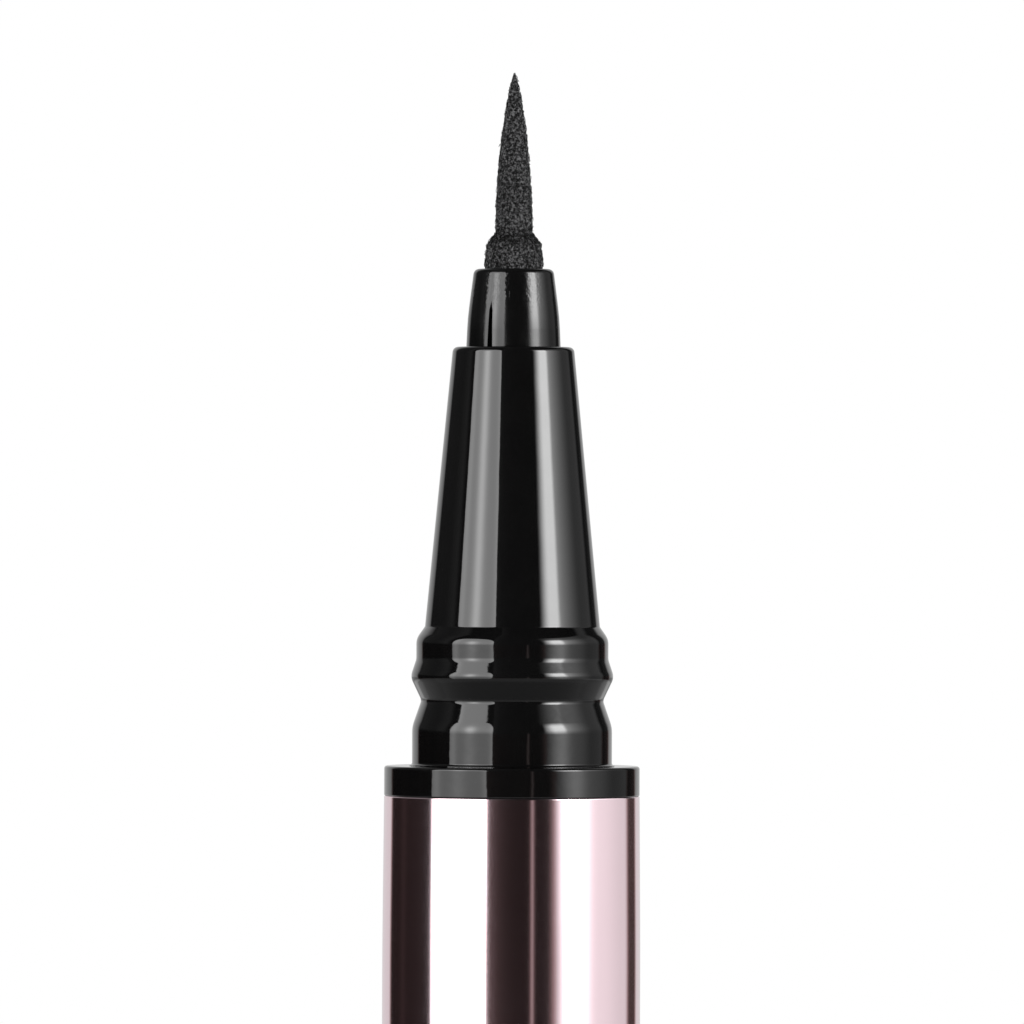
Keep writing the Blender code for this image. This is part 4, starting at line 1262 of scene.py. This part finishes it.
def light_studio():
    """Two big soft lights in a dim room, left and right of the camera, by direction in degrees.

    A bearing of 0 points from the pen to the camera and a positive one to the right. A tilt of 0 is level
    and a positive one points up.
    """
    world = bpy.data.worlds.new("studio")
    bpy.context.scene.world = world
    world.use_nodes = True
    tree = world.node_tree
    way = Flow(tree).node("ShaderNodeTexCoord", output="Generated")
    bearing = way.part("X").maths("ARCTAN2", way.part("Y") * -1) * math.degrees(1)
    tilt = way.part("Z").maths("ARCSINE") * math.degrees(1)

    # The left light is a square with round corners, a streak in it and two brighter rims.
    across = abs((bearing - LEFT_BEARING) / LEFT_HALF_WIDTH) ** 3
    upward = abs((tilt - LEFT_TILT) / LEFT_HALF_HEIGHT) ** 3
    left_edge = 1 - (across + upward).rise(0.95, 1.05)
    streak = 5 * bearing.bell(-50, 5) * tilt.bell(12, 7)
    rims = 0.9 * bearing.bell(-72, 3) + 0.9 * bearing.bell(-23.5, 2.5)
    left = left_edge * (2.15 + 2.2 * tilt.rise(-3, 11) - 0.4 * tilt.rise(15, 35) + streak + rims)

    # The right light has a strong core that fades to the right, and is weaker above and below.
    height = tilt.rise(-2, 12) * (1 - tilt.rise(22, 34))
    core = 9 * bearing.rise(36, 53) * (1 - bearing.rise(62, 69)) * (1 + 0.15 * tilt.bell(19, 6))
    upper = core + (4.2 * bearing.decay(68, 11) + 1.2) * bearing.rise(36, 53)
    lower = 0.9 * bearing.rise(32, 53) + 1.9 * bearing.bell(59.5, 8) * (1 - 0.7 * tilt.rise(22, 34))
    fall = (1 - 0.18 * bearing.rise(88, 120)) * (1 - bearing.rise(123, 131.5))
    right_edge = fall * tilt.window(-14, 42, 4)
    right = right_edge * (upper * height + lower * (1 - height))

    # The room is dim, with a pale backdrop, ceiling and floor, and two thin lines.
    beyond = 0.05 * bearing.window(126, 144, 4)
    backdrop = 0.7 * bearing.rise(143, 152) + 0.7 * (bearing * -1).rise(135.5, 141.5)
    ceiling = 0.3 * tilt.rise(55, 70) * abs(bearing).rise(90, 130)
    below = 0.8 * (1 - tilt.rise(-11, -7))
    lines = (0.46 * bearing.bell(18.5, 0.9) + 0.012 * bearing.bell(-114, 3)) * tilt.window(-20, 2, 4)
    corner = (0.005 + 0.2 * tilt.rise(1, 8)) * bearing.window(-136, -84, 10)
    glow = 0.1 * bearing.decay(-23, 8) * bearing.rise(-26, -23)
    dim = 0.013 + corner + glow + beyond + backdrop * tilt.window(-20, 60, 6)
    room = dim + left + right + ceiling + below + lines

    seen = seen_by_camera(way)
    strength = room * (1 - seen) + seen
    # Dim parts that lie level or lower are warm.
    neutral = room.rise(0.2, 0.7).most(tilt.rise(0, 3)).most(seen)
    tint = neutral.blend((1, 0.7, 0.67), (1, 1, 1))
    background = tree.nodes["Background"]
    tree.links.new(strength.socket, background.inputs["Strength"])
    tree.links.new(tint.socket, background.inputs["Color"])


def place_camera():
    """The camera looks along +Y, level with the middle of the photograph's frame."""
    data = bpy.data.cameras.new("camera")
    data.sensor_width = SENSOR_WIDTH
    data.lens = SENSOR_WIDTH * CAMERA_DISTANCE / (PHOTO_SIDE * PIXEL)
    data.clip_start = CAMERA_DISTANCE / 10
    data.clip_end = 2 * FLOOR_RADIUS
    camera = placed("camera", data)
    middle = (PHOTO_SIDE - 1) / 2
    x = (middle - AXIS_COLUMN) * PIXEL
    z = COLLAR_TOP + (COLLAR_TOP_ROW - middle) * PIXEL
    camera.location = (x, -CAMERA_DISTANCE, z)
    level = Matrix.Rotation(math.radians(90), 3, "X")
    camera.rotation_euler = (level @ Matrix.Rotation(AXIS_LEAN, 3, "Z")).to_euler()
    bpy.context.scene.camera = camera
    bpy.context.scene.view_settings.view_transform = "Standard"


waves = 0.005 * MM
polished_black = gloss_black_plastic("polished_black_plastic", gloss=0.5, haze=0.02, waves=waves, scuffs=0)
rose_gold = rose_gold_metal()
milky = milky_plastic()
rubber = seal_rubber()
steel = bright_steel()
cuts = cuts_tree()

place_camera()
light_studio()
make_floor()

make_nib()
make_nib_holder(cuts)
make_front_section(polished_black)
make_collector(milky)
make_relay_core()
make_seal_ring("front_seal_ring", FRONT_SEAL_MIDDLE, rubber)
make_ball_stop_cup(milky, cuts)
make_mixing_ball(steel)
make_ink_tank()
make_barrel_sleeve(rose_gold)
make_trim_ring("collar_ring", SLEEVE_TOP + SEAM_GAP, COLLAR_TOP, RING_EDGE, SEAM_EDGE, polished_black)
seam = SLEEVE_BASE - SEAM_GAP
make_trim_ring("tail_ring", TAIL_RING_BASE, seam, SEAM_EDGE, RING_EDGE, polished_black)
make_tail_plug(polished_black)
make_seal_ring("tail_seal_ring", TAIL_SEAL_MIDDLE, rubber)
make_cap_shell(rose_gold)
make_cap_liner(polished_black)
make_inner_cap(milky)
make_cap_spring(steel)
